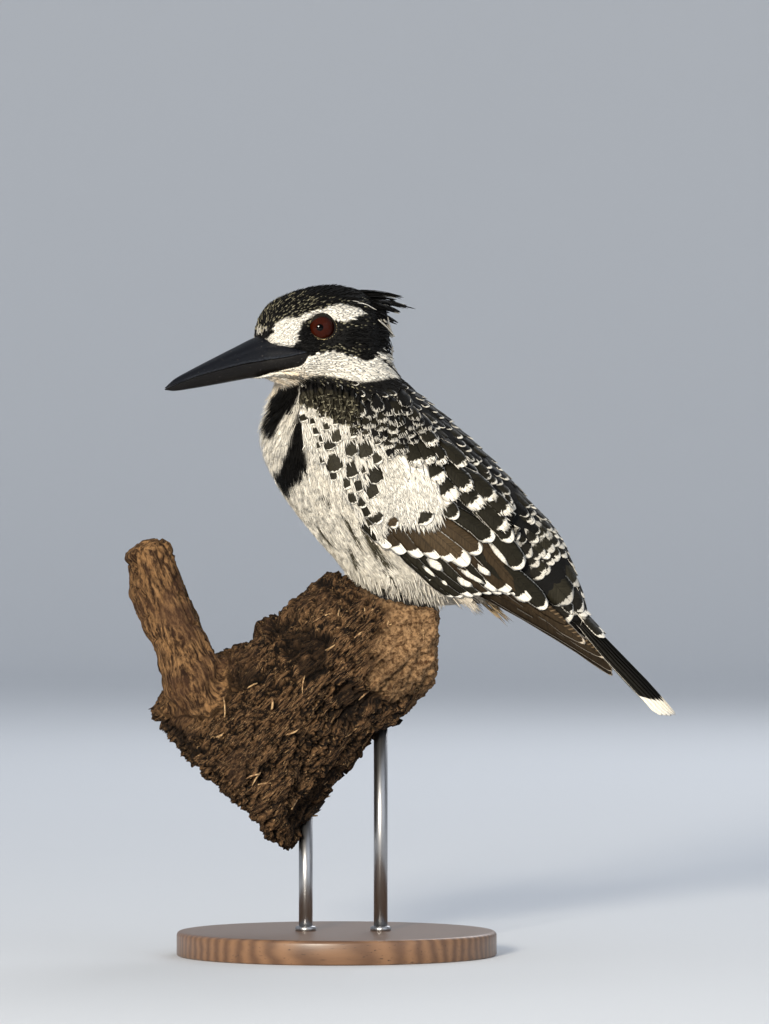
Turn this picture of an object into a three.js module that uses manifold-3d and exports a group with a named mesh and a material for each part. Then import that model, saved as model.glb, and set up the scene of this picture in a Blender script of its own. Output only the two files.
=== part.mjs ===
// A life-size pied kingfisher on a short length of dead branch, held over a round base by two rods.
// Millimetres, +Z up. The tail points to +X, the bird's left side faces -Y, and the origin is the
// centre of the base's underside. Every pair of pieces that touch keeps a gap between them.
import * as THREE from "three";
import { mergeVertices } from "three/addons/utils/BufferGeometryUtils.js";
import Module from "manifold-3d";

const wasm = await Module();
wasm.setup();

const GAP = 0.3; // clearance between pieces that touch
const FAR = 400; // reach of a cutting block

// ---- driving dimensions ----
const TRUNK = { x: 20.2, z: 170.3, slope: 42 }; // middle of the trunk, and how far it tips down behind
const SPLIT = { shoulder: -14, side: 3, rump: 52 }; // where the trunk is parted, in its own frame
const NECK = { x: 0.4, y: -1.2, z: 214.6, lean: 94.5 };
const HEAD = { x: -4.4, y: -6.4, z: 233.6, turn: 32 }; // the head turns to the bird's left
const EYE = { x: -8, y: 9.4, z: 1.1, r: 5.3, opening: 4.5, forward: 14 };
const BILL = { tip: -69, root: -11.5 };
const WING = { curve: 39, middle: 3.5, coverts: 12, secondaries: 47 };
const TAIL = { arch: 5.6, thick: 1.6 };
const FOOT = { x: 28.5, y: 9.5, z: 132.4, slope: 10, toe: 1.75, claw: 1.05 };
const LOG = {
  x: -42, // middle of the saw cut
  z: 62.6,
  slope: 45,
  dip: { x: 16.5, z: 133.4 }, // where the broken top turns from steep to nearly level
  end: 38.4,
};
const STUB = { top: 155, lean: -3 };
const ROD = { r: 2.6, xs: { front: -11.6, rear: 16.5 }, intoLog: 10, intoBase: 5 };
const BASE = { r: 60, h: 9, chamfer: 1.5 };

// ---- finishes ----
const FINISH = {
  black: { color: 0x1c1a17, roughness: 0.75, metalness: 0 },
  white: { color: 0xe9e4d6, roughness: 0.85, metalness: 0 },
  pied: { color: 0x4b4740, roughness: 0.8, metalness: 0 },
  bill: { color: 0x12131a, roughness: 0.3, metalness: 0 },
  eye: { color: 0x2a0d0a, roughness: 0.08, metalness: 0 },
  foot: { color: 0x2b2826, roughness: 0.6, metalness: 0 },
  bark: { color: 0x5b4126, roughness: 0.9, metalness: 0 },
  base: { color: 0x3a2a1e, roughness: 0.45, metalness: 0 },
  rod: { color: 0x8e8e90, roughness: 0.35, metalness: 0.9 },
};

// ---- small helpers ----
const rad = THREE.MathUtils.degToRad;
const at = (x, y, z) => new THREE.Vector3(x, y, z);

// Smooth values between rows of [place, value, value, ...].
function values(rows, place) {
  const last = rows.length - 1;
  let i = 0;
  while (i < last - 1 && place > rows[i + 1][0]) i++;
  const p0 = rows[Math.max(i - 1, 0)];
  const [p1, p2] = [rows[i], rows[i + 1]];
  const p3 = rows[Math.min(i + 2, last)];
  const span = p2[0] - p1[0];
  const t = THREE.MathUtils.clamp((place - p1[0]) / span, 0, 1);
  const slope = (a, b, k) => ((b[k] - a[k]) / (b[0] - a[0])) * span;
  return p1.slice(1).map((value, j) => {
    const k = j + 1;
    const ease = t * t * (3 - 2 * t);
    const [m1, m2] = [slope(p0, p2, k), slope(p1, p3, k)];
    return value * (1 - ease) + p2[k] * ease + m1 * t * (1 - t) ** 2 - m2 * t * t * (1 - t);
  });
}

function solidOf(geometry) {
  const bare = geometry.clone();
  bare.deleteAttribute("normal");
  bare.deleteAttribute("uv");
  const g = mergeVertices(bare, 1e-4);
  const triVerts = new Uint32Array(g.index.array);
  const vertProperties = new Float32Array(g.attributes.position.array);
  const make = () => new wasm.Manifold(new wasm.Mesh({ numProp: 3, vertProperties, triVerts }));
  if (make().volume() > 0) return make();
  for (let i = 0; i < triVerts.length; i += 3) {
    [triVerts[i + 1], triVerts[i + 2]] = [triVerts[i + 2], triVerts[i + 1]];
  }
  return make();
}

function geometryOf(solid) {
  const m = solid.getMesh();
  const g = new THREE.BufferGeometry();
  g.setAttribute("position", new THREE.BufferAttribute(new Float32Array(m.vertProperties), 3));
  g.setIndex(new THREE.BufferAttribute(new Uint32Array(m.triVerts), 1));
  g.computeVertexNormals();
  return g;
}

// A closed solid from a ball's vertices: place(t, angle, full, v) sets each one, with t from 0 to 1
// along it and full falling to 0 at both rounded ends. A crowd above 0 draws the rings to the ends.
function swept(place, { around = 20, along = 16, blunt = [0.12, 0.12], crowd = 0 } = {}) {
  const g = new THREE.SphereGeometry(1, around, along);
  const points = g.attributes.position;
  const v = at(0, 0, 0);
  const round = (t, reach) => Math.sqrt(1 - (1 - Math.min(1, t / reach)) ** 2);
  for (let i = 0; i < points.count; i++) {
    v.fromBufferAttribute(points, i);
    const even = Math.acos(THREE.MathUtils.clamp(v.y, -1, 1)) / Math.PI;
    const t = THREE.MathUtils.lerp(even, (1 - v.y) / 2, crowd);
    const full = round(t, blunt[0]) * round(1 - t, blunt[1]);
    place(t, Math.atan2(v.z, -v.x), full, v);
    points.setXYZ(i, v.x, v.y, v.z);
  }
  return solidOf(g);
}

// A body along its frame's X whose rows are [x, low z, high z, half width].
function body(rows, frame, { grow = 0, rough = () => 1, ...shape } = {}) {
  const [from, to] = [rows[0][0] - grow, rows.at(-1)[0] + grow];
  return swept((t, angle, full, v) => {
    const x = from + (to - from) * t;
    const [low, high, half] = values(rows, x);
    const [middle, reach] = [(low + high) / 2, (high - low) / 2];
    const size = rough(x, angle);
    const y = Math.sin(angle) * (half * size + grow) * full;
    v.set(x, y, middle + Math.cos(angle) * (reach * size + grow) * full).applyMatrix4(frame);
  }, shape);
}

// A round tube through points, with radii along it.
function tube(points, radii, { grow = 0, ...shape } = {}) {
  const line = new THREE.CatmullRomCurve3(points);
  const rows = radii.map((r, i) => [i / (radii.length - 1), r]);
  const [tangent, side, up] = [at(0, 0, 0), at(0, 0, 0), at(0, 0, 0)];
  const aside = at(0.1, 1, 0.2);
  return swept(
    (t, angle, full, v) => {
      line.getTangentAt(t, tangent);
      side.crossVectors(tangent, aside).normalize();
      up.crossVectors(side, tangent).normalize();
      const r = (values(rows, t)[0] + grow) * full;
      line.getPointAt(t, v);
      v.addScaledVector(side, Math.cos(angle) * r).addScaledVector(up, Math.sin(angle) * r);
    },
    { around: 8, along: 8, ...shape },
  );
}

// A block that fills everything past a plane, along the plane's normal.
function past(point, normal) {
  const turn = new THREE.Quaternion().setFromUnitVectors(at(0, 0, 1), normal.clone().normalize());
  const g = new THREE.BoxGeometry(2 * FAR, 2 * FAR, FAR).translate(0, 0, FAR / 2);
  return solidOf(g.applyQuaternion(turn).translate(point.x, point.y, point.z));
}

const without = (solid, ...others) => others.reduce((left, other) => left.subtract(other), solid);

// The largest body of a solid, without the slivers that a cut leaves.
const largest = (solid) => solid.decompose().sort((a, b) => b.volume() - a.volume())[0];

// A solid parted by a plane into [behind, ahead], with the gap between them.
function parted(solid, point, normal) {
  const n = normal.clone().normalize();
  const ahead = past(point.clone().addScaledVector(n, GAP / 2), n);
  const behind = past(point.clone().addScaledVector(n, -GAP / 2), n.clone().negate());
  return [behind, ahead].map((side) => largest(solid.intersect(side)));
}

// ---- frames ----
const framed = (turn, place) => turn.setPosition(place.x, place.y ?? 0, place.z);
const trunkFrame = framed(new THREE.Matrix4().makeRotationY(rad(TRUNK.slope)), TRUNK);
const neckFrame = framed(new THREE.Matrix4().makeRotationY(rad(-NECK.lean)), NECK);
const headFrame = framed(new THREE.Matrix4().makeRotationZ(rad(HEAD.turn)), HEAD);
const logFrame = framed(new THREE.Matrix4().makeRotationY(rad(-LOG.slope)), LOG);
const onTrunk = (x, y, z) => at(x, y, z).applyMatrix4(trunkFrame);
const alongTrunk = at(1, 0, 0).transformDirection(trunkFrame);
const upFromTrunk = at(0, 0, 1).transformDirection(trunkFrame);

// ---- trunk and neck ----
const trunkRows = [
  [-62, -1, 13, 8],
  [-54.5, -14, 24, 16],
  [-45, -20.3, 32, 21.5],
  [-30, -26.5, 36.9, 26],
  [-15, -29.6, 38.6, 28],
  [0, -31.2, 38.8, 28.5],
  [12, -33.2, 38.7, 28],
  [24, -31.5, 38, 26.5],
  [35, -24, 36.8, 24],
  [45, -12.5, 35.6, 20],
  [55, -4.5, 34.6, 17],
  [67, 0, 29.2, 14],
  [81, 3.5, 21.8, 11],
  [93, 6, 15.5, 7],
];
const trunk = (grow = 0) =>
  body(trunkRows, trunkFrame, { grow, around: 22, along: 18, blunt: [0.1, 0.12] });

const neckRows = [
  [-32, -22, 23.5, 18],
  [-14, -25.5, 27.4, 20.5],
  [-4, -24.5, 25.8, 19.4],
  [5, -22.8, 24, 17.6],
  [14, -17, 19, 14],
];
const neck = (grow = 0) =>
  body(neckRows, neckFrame, { grow, around: 18, along: 7, blunt: [0.2, 0.2] });

// ---- head and crest ----
const headRows = [
  [-31.2, -13, -1, 4],
  [-28.2, -18, 5.6, 6.8],
  [-23, -19.8, 10.8, 9.6],
  [-16, -21, 14, 12.4],
  [-7.5, -21.6, 16.4, 14.4],
  [2, -21.6, 17.7, 16],
  [12, -20.5, 16.4, 16.2],
  [20, -18, 13.8, 14.6],
  [26, -13, 9.5, 11],
  [28.5, -8, 4, 7],
];
const head = (grow = 0) =>
  body(headRows, headFrame, { grow, around: 18, along: 14, blunt: [0.06, 0.12] });

const crestRows = [
  [14, -6, 14.8, 9],
  [24, -8, 13.6, 8],
  [28, -6, 12.4, 5.5],
  [30.5, 0, 11.4, 3],
];
// The shaggy nape's locks: how far back each reaches, its height there and at the root.
const crestLocks = [
  { reach: 36.5, z: 15.6, root: 13 },
  { reach: 40.7, z: 9, root: 8.5 },
  { reach: 33.6, z: 3.6, root: 4 },
  { reach: 31.6, z: -2, root: 0 },
  { reach: 30.6, z: -7, root: -4 },
];
function crest() {
  const lock = ({ reach, z, root }) => {
    const line = [14, 22, 29, reach].map((x, i) => {
      return at(x, 0, root + (z - root) * (i / 3) ** 1.5).applyMatrix4(headFrame);
    });
    return tube(line, [2.6, 2.5, 1.7, 0.5], { around: 6, along: 6 });
  };
  const root = body(crestRows, headFrame, { around: 12, along: 6, blunt: [0.2, 0.25] });
  return crestLocks.map(lock).reduce((all, one) => all.add(one), root);
}

// ---- bill: rows are [x, edge z, half width], and the mouth line parts it in two ----
const mouthRows = [
  [BILL.tip, -22.25],
  [-52, -18.2],
  [-35, -13.6],
  [-20, -10.6],
  [BILL.root, -9.6],
];
const culmenRows = [
  [BILL.tip, -21.6, 0.6],
  [-65, -18.6, 1.4],
  [-57.9, -15.2, 2.4],
  [-49.5, -11.4, 3.4],
  [-40, -7.2, 4.6],
  [-30, -3, 5.9],
  [-22, -3.4, 7.3],
  [BILL.root, -6.6, 9.2],
];
const chinRows = [
  [BILL.tip, -22.8, 0.6],
  [-65, -22.9, 1.3],
  [-57.9, -21.9, 2.2],
  [-49.5, -20.6, 3.1],
  [-40, -19, 4.2],
  [-30, -17.3, 5.4],
  [-22, -15.6, 7],
  [BILL.root, -13, 9],
];
// A mandible is a rounded ridge on a flat mouth face: side is 1 for the upper one, -1 for the lower.
function mandible(rows, side, grow = 0) {
  const [from, to] = [BILL.tip - grow, BILL.root + grow];
  const flat = 0.06; // the mouth face bulges this share of the ridge's height
  const thinnest = 0.3; // height of the ridge at the very tip
  return swept(
    (t, angle, full, v) => {
      const x = from + (to - from) * t;
      const [edge, half] = values(rows, x);
      const mouth = values(mouthRows, x)[0] + (side * GAP) / 2;
      const height = Math.max(Math.abs(edge - mouth), thinnest);
      const rise = Math.cos(angle) * ((Math.cos(angle) > 0 ? height : height * flat) + grow);
      v.set(x, Math.sin(angle) * (half + grow) * full, mouth + side * rise * full);
      v.applyMatrix4(headFrame);
    },
    { around: 10, along: 11, blunt: [0.03, 0.06] },
  );
}
const billUpper = (grow = 0) => mandible(culmenRows, 1, grow);
const billLower = (grow = 0) => mandible(chinRows, -1, grow);

// ---- eyes: side is -1 for the bird's left ----
function eyePlace(side, out = 0) {
  const turn = rad(EYE.forward);
  const y = side * (EYE.y + Math.cos(turn) * out);
  return at(EYE.x - Math.sin(turn) * out, y, EYE.z).applyMatrix4(headFrame);
}
function eyeball(side, grow = 0) {
  const c = eyePlace(side);
  return solidOf(new THREE.SphereGeometry(EYE.r + grow, 12, 7).translate(c.x, c.y, c.z));
}
// The opening between the lids, a short lens outside the ball.
function lidOpening(side) {
  const g = new THREE.SphereGeometry(1, 10, 6).scale(EYE.opening * 1.12, 4.2, EYE.opening * 0.92);
  const c = eyePlace(side, 5.2);
  return solidOf(g.rotateZ(rad(HEAD.turn + side * EYE.forward)).translate(c.x, c.y, c.z));
}

// ---- wings: rows are [x, low z, high z, thickness, distance of the outer face from the middle] ----
const wingRows = [
  [-47.5, 2, 12, 1.2, 22],
  [-38, -5.5, 27, 2.4, 25.6],
  [-22, -9, 31.5, 3, 29],
  [-7, -12, 33, 3, 30.4],
  [11, -13.8, 32.6, 2.8, 30.3],
  [23, -14.2, 31.4, 2.4, 29.4],
  [34, -13.2, 29, 2, 27.6],
  [44, -10.2, 25, 1.6, 24.6],
  [54, -4.2, 19.5, 1.3, 21],
  [66, -0.6, 15.6, 1.1, 17.2],
  [81, 2.2, 13.2, 0.9, 13.6],
  [95, 4.8, 11, 0.8, 10.8],
  [102.5, 7, 9.6, 0.7, 9.4],
];
// A folded wing is a plate bent over the trunk's side.
function wing(side, grow = 0) {
  const [from, to] = [wingRows[0][0] - grow, wingRows.at(-1)[0] + grow];
  return swept(
    (t, angle, full, v) => {
      const x = from + (to - from) * t;
      const [low, high, thick, out] = values(wingRows, x);
      const [middle, reach] = [(low + high) / 2, (high - low) / 2];
      const z = middle + Math.cos(angle) * (reach + grow) * full;
      const bend = Math.sqrt(Math.max(0.06, 1 - ((z - WING.middle) / WING.curve) ** 2));
      const depth = ((Math.sin(angle) - 1) * thick) / 2 + Math.sin(angle) * grow;
      v.set(x, side * (out * bend + depth * full), z).applyMatrix4(trunkFrame);
    },
    { around: 14, along: 16, blunt: [0.12, 0.03], crowd: 0.3 },
  );
}

// ---- tail: a closed fan with a low arch across it. Rows are [x, half width, top z] ----
const tailRows = [
  [66, 7, 17.5],
  [82, 9.5, 17.2],
  [100, 11.2, 16],
  [118, 12, 14.8],
  [131, 12.4, 13.2],
  [134.5, 12.4, 12.8],
];
function tail(grow = 0) {
  const [from, to] = [tailRows[0][0] - grow, tailRows.at(-1)[0] + grow];
  return swept(
    (t, angle, full, v) => {
      const x = from + (to - from) * t;
      const [half, top] = values(tailRows, x);
      const y = Math.sin(angle) * full * (half + grow);
      const z = top - TAIL.thick / 2 - TAIL.arch * (y / half) ** 2;
      v.set(x, y, z + Math.cos(angle) * (TAIL.thick / 2 + grow) * full).applyMatrix4(trunkFrame);
    },
    { around: 14, along: 11, blunt: [0.05, 0.04], crowd: 0.9 },
  );
}

// ---- legs, feet and claws, in the foot's frame with the toes forward along -X ----
const toes = [
  { name: "inner", length: 9.5, out: -16, claw: 4.2 },
  { name: "middle", length: 13, out: 0, claw: 5 },
  { name: "outer", length: 11.5, out: 12, claw: 4.6 },
  { name: "hind", length: 5, out: 176, claw: 5.2 },
];
const footFrame = (side) =>
  framed(new THREE.Matrix4().makeRotationY(rad(FOOT.slope)), { ...FOOT, y: side * FOOT.y });

function onToe(toe, side, reach, drop = 0) {
  const turn = rad(toe.out);
  return at(-Math.cos(turn) * reach, side * Math.sin(turn) * reach, -drop).applyMatrix4(footFrame(side));
}
function toeSolid(toe, side, grow) {
  const places = [-1.5, toe.length * 0.4, toe.length * 0.75, toe.length];
  const line = places.map((reach) => onToe(toe, side, reach));
  return tube(line, [1, 1.05, 0.95, 0.85].map((r) => r * FOOT.toe), { grow, around: 6, along: 4 });
}
const foot = (side, grow = 0) =>
  toes.map((toe) => toeSolid(toe, side, grow)).reduce((all, toe) => all.add(toe));

function claw(toe, side, grow = 0) {
  const line = [0, 0.45, 0.9, 1.35].map((bend) => {
    const drop = toe.claw * 0.6 * (1 - Math.cos(bend));
    return onToe(toe, side, toe.length - 0.8 + toe.claw * Math.sin(bend), drop);
  });
  return tube(line, [1, 0.95, 0.7, 0.4].map((r) => r * FOOT.claw), { grow, around: 6, along: 5 });
}
// The hollow that a foot and its claws sit in.
const footRoomRows = [
  [-20.5, -4.6, 2.6, 4],
  [-9, -3.6, 2.8, 5.6],
  [0, -3, 3, 4],
  [12.5, -6, 2.6, 3.2],
];
const footRoom = (side) =>
  body(footRoomRows, footFrame(side), { around: 8, along: 5, blunt: [0.2, 0.2] });

function leg(side, grow = 0) {
  const line = [at(0, 0, 0.6), at(0.5, side * 0.4, 4), at(1.5, side * 0.8, 8), at(3, side, 12)];
  const placed = line.map((p) => p.applyMatrix4(footFrame(side)));
  return tube(placed, [1.9, 1.8, 2.6, 3.4], { grow, around: 7, along: 5, blunt: [0.2, 0.3] });
}

// ---- perch: a broken branch, and the upright stub that grows from it ----
const logRows = [
  [-40, -39, 43, 38],
  [0, -36, 42, 36],
  [18, -32, 40.5, 34],
  [44, -28, 36, 31],
  [66, -28.5, 32.5, 29.5],
  [86, -29.5, 29.5, 28.5],
  [112, -29, 27, 27],
  [150, -30, 22, 24],
];
const lumps = (x, angle) =>
  1 + 0.03 * Math.sin(3 * angle + x / 11) + 0.02 * Math.sin(7 * angle - x / 8);
function branch(grow = 0) {
  const whole = body(logRows, logFrame, { grow, rough: lumps, around: 18, along: 13 });
  const sawn = past(at(LOG.x, 0, LOG.z), at(-1, 0, -1));
  const dip = at(LOG.dip.x, 0, LOG.dip.z);
  const top = past(dip, at(0.53, 0, 1)).intersect(past(dip, at(0.17, 0, 1)));
  const end = past(at(LOG.end, 0, LOG.dip.z), at(1, 0, -0.05));
  return without(whole, sawn, top, end);
}
function stub() {
  const [root, swell, neck] = [at(-38, -6, 78), at(-50, -14, 92), at(-55, -13, 106)];
  const line = [root, swell, neck, at(-62, -10, 126), at(-74, -6, 160)];
  const whole = tube(line, [13, 13.4, 11.4, 10.4, 10.2], { around: 12, along: 10, blunt: [0.1, 0.04] });
  return whole.subtract(past(at(-72, 0, STUB.top), at(Math.sin(rad(STUB.lean)), 0, 1)));
}

// ---- stand: a round base with two rods in blind holes ----
function stick(r, low, high, x) {
  const g = new THREE.CylinderGeometry(r, r, high - low, 16).rotateX(Math.PI / 2);
  return solidOf(g.translate(x, 0, (low + high) / 2));
}
function base() {
  const { r, h, chamfer } = BASE;
  const foot = chamfer / 2;
  const profile = [[0, 0], [r - foot, 0], [r, foot], [r, h - chamfer], [r - chamfer, h], [0, h]];
  const points = profile.map(([x, y]) => new THREE.Vector2(x, y));
  return solidOf(new THREE.LatheGeometry(points, 32).rotateX(Math.PI / 2));
}
// The height of the branch's underside over a place on the base.
function underside(solid, x) {
  const probe = solid.intersect(stick(0.5, BASE.h, FAR / 2, x));
  return probe.boundingBox().min[2];
}

// ---- assembly ----
const group = new THREE.Group();
function put(name, solid, finish) {
  const material = new THREE.MeshStandardMaterial(FINISH[finish]);
  const mesh = new THREE.Mesh(geometryOf(largest(solid)), material);
  mesh.name = name;
  group.add(mesh);
}
const sides = { left: -1, right: 1 };
const bothSides = (make) => Object.values(sides).map(make);

// Head, with its bill, eyes and crest.
const grownBill = [billUpper(GAP), billLower(GAP)];
const eyeRoom = bothSides((side) => eyeball(side, GAP).add(lidOpening(side)));
put("head", without(head(), ...grownBill, ...eyeRoom), "black");
put("crest", without(crest(), head(GAP)), "black");
put("bill_upper", billUpper(), "bill");
put("bill_lower", without(billLower(), billUpper(GAP * 0.6)), "bill");
for (const [name, side] of Object.entries(sides)) put("eye_" + name, eyeball(side), "eye");

// Trunk, parted at the shoulders, along the sides and over the rump.
const grownLegs = bothSides((side) => leg(side, GAP));
const footRooms = bothSides(footRoom);
const grownWings = bothSides((side) => wing(side, GAP));
const uncut = without(trunk(), neck(GAP), head(GAP), tail(2 * GAP), ...grownWings);
const flesh = without(uncut, ...grownLegs, ...footRooms);
const [front, rear] = parted(flesh, onTrunk(SPLIT.shoulder, 0, 0), alongTrunk);
const [breast, mantle] = parted(front, onTrunk(0, 0, SPLIT.side), upFromTrunk);
const [middle, rump] = parted(rear, onTrunk(SPLIT.rump, 0, 0), alongTrunk);
const [belly, back] = parted(middle, onTrunk(0, 0, SPLIT.side), upFromTrunk);
put("neck", without(neck(), head(GAP)), "white");
put("breast", breast, "white");
put("mantle", mantle, "pied");
put("back", back, "pied");
put("belly", belly, "white");
put("rump", rump, "pied");
put("tail", tail(), "black");

// Wings, parted across into coverts, secondaries and primaries.
for (const [name, side] of Object.entries(sides)) {
  const whole = largest(without(wing(side), tail(2 * GAP), neck(GAP)));
  const [coverts, flight] = parted(whole, onTrunk(WING.coverts, 0, 0), alongTrunk);
  const [secondaries, primaries] = parted(flight, onTrunk(WING.secondaries, 0, 0), alongTrunk);
  put(`wing_${name}_coverts`, coverts, "pied");
  put(`wing_${name}_secondaries`, secondaries, "pied");
  put(`wing_${name}_primaries`, primaries, "black");
}

// Legs, feet and claws.
for (const [name, side] of Object.entries(sides)) {
  put("leg_" + name, without(leg(side), foot(side, GAP)), "foot");
  put("foot_" + name, without(foot(side), ...toes.map((toe) => claw(toe, side, GAP))), "foot");
  for (const toe of toes) put(`claw_${name}_${toe.name}`, claw(toe, side), "bill");
}

// Perch and stand.
const log = without(branch(), trunk(GAP), ...footRooms);
const drilled = [];
const sockets = [];
for (const [name, x] of Object.entries(ROD.xs)) {
  const [low, high] = [BASE.h - ROD.intoBase, underside(log, x) + ROD.intoLog];
  put("stand_rod_" + name, stick(ROD.r, low, high, x), "rod");
  drilled.push(stick(ROD.r + GAP, BASE.h, high + GAP, x));
  sockets.push(stick(ROD.r + GAP, low - GAP, BASE.h + 1, x));
}
put("perch_log", without(log, ...drilled), "bark");
put("perch_stub", without(stub(), branch(GAP)), "bark");
put("stand_base", without(base(), ...sockets), "base");

export default group;
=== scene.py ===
import itertools
import math

import bpy
import numpy as np
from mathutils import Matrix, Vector
from mathutils.kdtree import KDTree


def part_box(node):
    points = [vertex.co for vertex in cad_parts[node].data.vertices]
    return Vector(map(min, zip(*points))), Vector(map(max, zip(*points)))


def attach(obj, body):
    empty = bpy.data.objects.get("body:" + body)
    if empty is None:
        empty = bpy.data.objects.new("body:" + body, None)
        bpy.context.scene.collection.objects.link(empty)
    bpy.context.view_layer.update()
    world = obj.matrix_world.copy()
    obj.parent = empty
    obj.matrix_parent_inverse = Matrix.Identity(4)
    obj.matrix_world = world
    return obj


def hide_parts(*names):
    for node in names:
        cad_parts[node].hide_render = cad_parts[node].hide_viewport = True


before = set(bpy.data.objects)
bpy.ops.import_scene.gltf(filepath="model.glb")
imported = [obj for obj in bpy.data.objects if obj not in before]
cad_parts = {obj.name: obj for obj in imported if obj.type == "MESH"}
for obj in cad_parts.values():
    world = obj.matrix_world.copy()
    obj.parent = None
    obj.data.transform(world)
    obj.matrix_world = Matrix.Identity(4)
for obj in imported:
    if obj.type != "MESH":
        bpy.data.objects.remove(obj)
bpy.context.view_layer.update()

# A pied kingfisher on a cut branch: one skin under feathers of solid mesh, on a plain stand.
mm = 0.001  # shapes are worked out in millimetres and written in metres
chance = np.random.default_rng(27)


def tipped(middle, tip):
    c, s = math.cos(math.radians(tip)), math.sin(math.radians(tip))
    return {"middle": np.array(middle, float), "axes": np.array([[c, 0, s], [0, 1, 0], [-s, 0, c]])}


def turned(middle, turn):
    c, s = math.cos(math.radians(turn)), math.sin(math.radians(turn))
    return {"middle": np.array(middle, float), "axes": np.array([[c, -s, 0], [s, c, 0], [0, 0, 1.0]])}


trunkLie = tipped((20.2, 0, 170.3), 42)  # x runs back along the trunk, z out of the back
headLie = turned((-4.4, -6.4, 233.6), 32)  # x runs back from the bill
branchLie = tipped((-42, 0, 62.6), -45)  # x runs up the branch from its sawn end


def into(lie, points):
    return (np.asarray(points, float) - lie["middle"]) @ lie["axes"]


def outOf(lie, points):
    return np.asarray(points, float) @ lie["axes"].T + lie["middle"]


def turnOut(lie, directions):
    return np.asarray(directions, float) @ lie["axes"].T


def unit(v):
    return v / np.maximum(np.linalg.norm(v, axis=-1, keepdims=True), 1e-12)


def dot(a, b):
    return (a * b).sum(-1, keepdims=True)


def stacked(*parts):
    return np.stack(np.broadcast_arrays(*parts), -1)


def ease(low, high, value):
    t = np.clip((value - low) / (high - low), 0, 1)
    return t * t * (3 - 2 * t)


def vary(least, spread, *shape):
    return least + spread * chance.random(shape)


def towards(values, others, share):
    # rows of values moved towards others, each by its share
    return values + share[:, None] * (others - values)


def read(rows, place):
    # the columns of rows of [place, value, ...], read at each place on a smooth curve through them
    rows = np.array(rows, float)
    x = np.clip(place, rows[0, 0], rows[-1, 0])
    i = np.clip(np.searchsorted(rows[:, 0], x, side="right") - 1, 0, len(rows) - 2)
    before, after = np.maximum(i - 1, 0), np.minimum(i + 2, len(rows) - 1)
    a, b, step = rows[i], rows[i + 1], (rows[i + 1, 0] - rows[i, 0])
    t = ((x - rows[i, 0]) / step)[..., None]
    slopeA = (b - rows[before]) / np.maximum(b[..., :1] - rows[before][..., :1], 1e-9) * step[..., None]
    slopeB = (rows[after] - a) / np.maximum(rows[after][..., :1] - a[..., :1], 1e-9) * step[..., None]
    curve = (a * (2 * t**3 - 3 * t**2 + 1) + slopeA * (t**3 - 2 * t**2 + t)
             + b * (3 * t**2 - 2 * t**3) + slopeB * (t**3 - t**2))
    return [curve[..., k] for k in range(1, rows.shape[1])]


def noise(points, seed=0):
    cell = np.floor(points).astype(np.int64)
    part = points - cell
    soft = part * part * (3 - 2 * part)
    total = np.zeros(len(points))
    for corner in itertools.product((0, 1), repeat=3):
        c = cell + np.array(corner)
        mixed = (c[:, 0] * 374761393 + c[:, 1] * 668265263 + c[:, 2] * 1440662683
                 + seed * 974634777) & 0xFFFFFFFF
        mixed = ((mixed ^ (mixed >> 13)) * 1274126177) & 0xFFFFFFFF
        mixed ^= mixed >> 16
        weight = np.prod(np.where(corner, soft, 1 - soft), axis=1)
        total += ((mixed & 0xFFFF) / 32767.5 - 1) * weight
    return total


def layered(points, octaves=4, seed=0):
    return sum(noise(points * 2**k, seed + k) / 2**k for k in range(octaves))


def nearLine(points, start, end):
    # how far points are from a straight line, and how far along it
    a, b = np.array(start), np.array(end)
    share = np.clip((points - a) @ (b - a) / ((b - a) @ (b - a)), 0, 1)
    return np.linalg.norm(points - a - share[:, None] * (b - a), axis=1), share


def insideBy(outline, across, up):
    # how far each point lies inside a closed outline, below 0 outside it
    corners = np.array(outline, float)
    points = np.stack([across, up], -1)
    nearest = np.full(len(points), 1e9)
    inside = np.zeros(len(points), bool)
    for a, b in zip(corners, np.roll(corners, -1, axis=0)):
        nearest = np.minimum(nearest, nearLine(points, a, b)[0])
        if a[1] != b[1]:
            crosses = (up < a[1]) != (up < b[1])
            inside ^= crosses & (across < a[0] + (up - a[1]) * (b[0] - a[0]) / (b[1] - a[1]))
    return np.where(inside, nearest, -nearest)


def startsOf(sizes):
    # the first corner of each face
    return np.concatenate([[0], np.cumsum(sizes)[:-1]])


def treeOf(points):
    tree = KDTree(len(points))
    for number, point in enumerate(points):
        tree.insert(point, number)
    tree.balance()
    return tree


def writeMesh(name, points, corners, sizes, uvMaps=None, attributes=None, smooth=True):
    mesh = bpy.data.meshes.new(name)
    corners = np.asarray(corners, np.int32).ravel()
    sizes = np.asarray(sizes, np.int32)
    mesh.vertices.add(len(points))
    mesh.vertices.foreach_set("co", (np.asarray(points) * mm).astype(np.float32).ravel())
    mesh.loops.add(len(corners))
    mesh.loops.foreach_set("vertex_index", corners)
    mesh.polygons.add(len(sizes))
    mesh.polygons.foreach_set("loop_start", startsOf(sizes).astype(np.int32))
    mesh.update(calc_edges=True)
    mesh.polygons.foreach_set("use_smooth", np.full(len(sizes), smooth))
    for label, values in (uvMaps or {}).items():
        values = np.asarray(values)
        perCorner = values[corners] if len(values) == len(points) else values
        mesh.uv_layers.new(name=label).data.foreach_set("uv", perCorner.astype(np.float32).ravel())
    for label, values in (attributes or {}).items():
        values = np.asarray(values, np.float32)
        kind, key = {1: ("FLOAT", "value"), 3: ("FLOAT_VECTOR", "vector"), 4: ("FLOAT_COLOR", "color")}[
            1 if values.ndim == 1 else values.shape[1]]
        mesh.attributes.new(label, kind, "POINT").data.foreach_set(key, values.ravel())
    mesh.validate()
    return mesh


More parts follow.
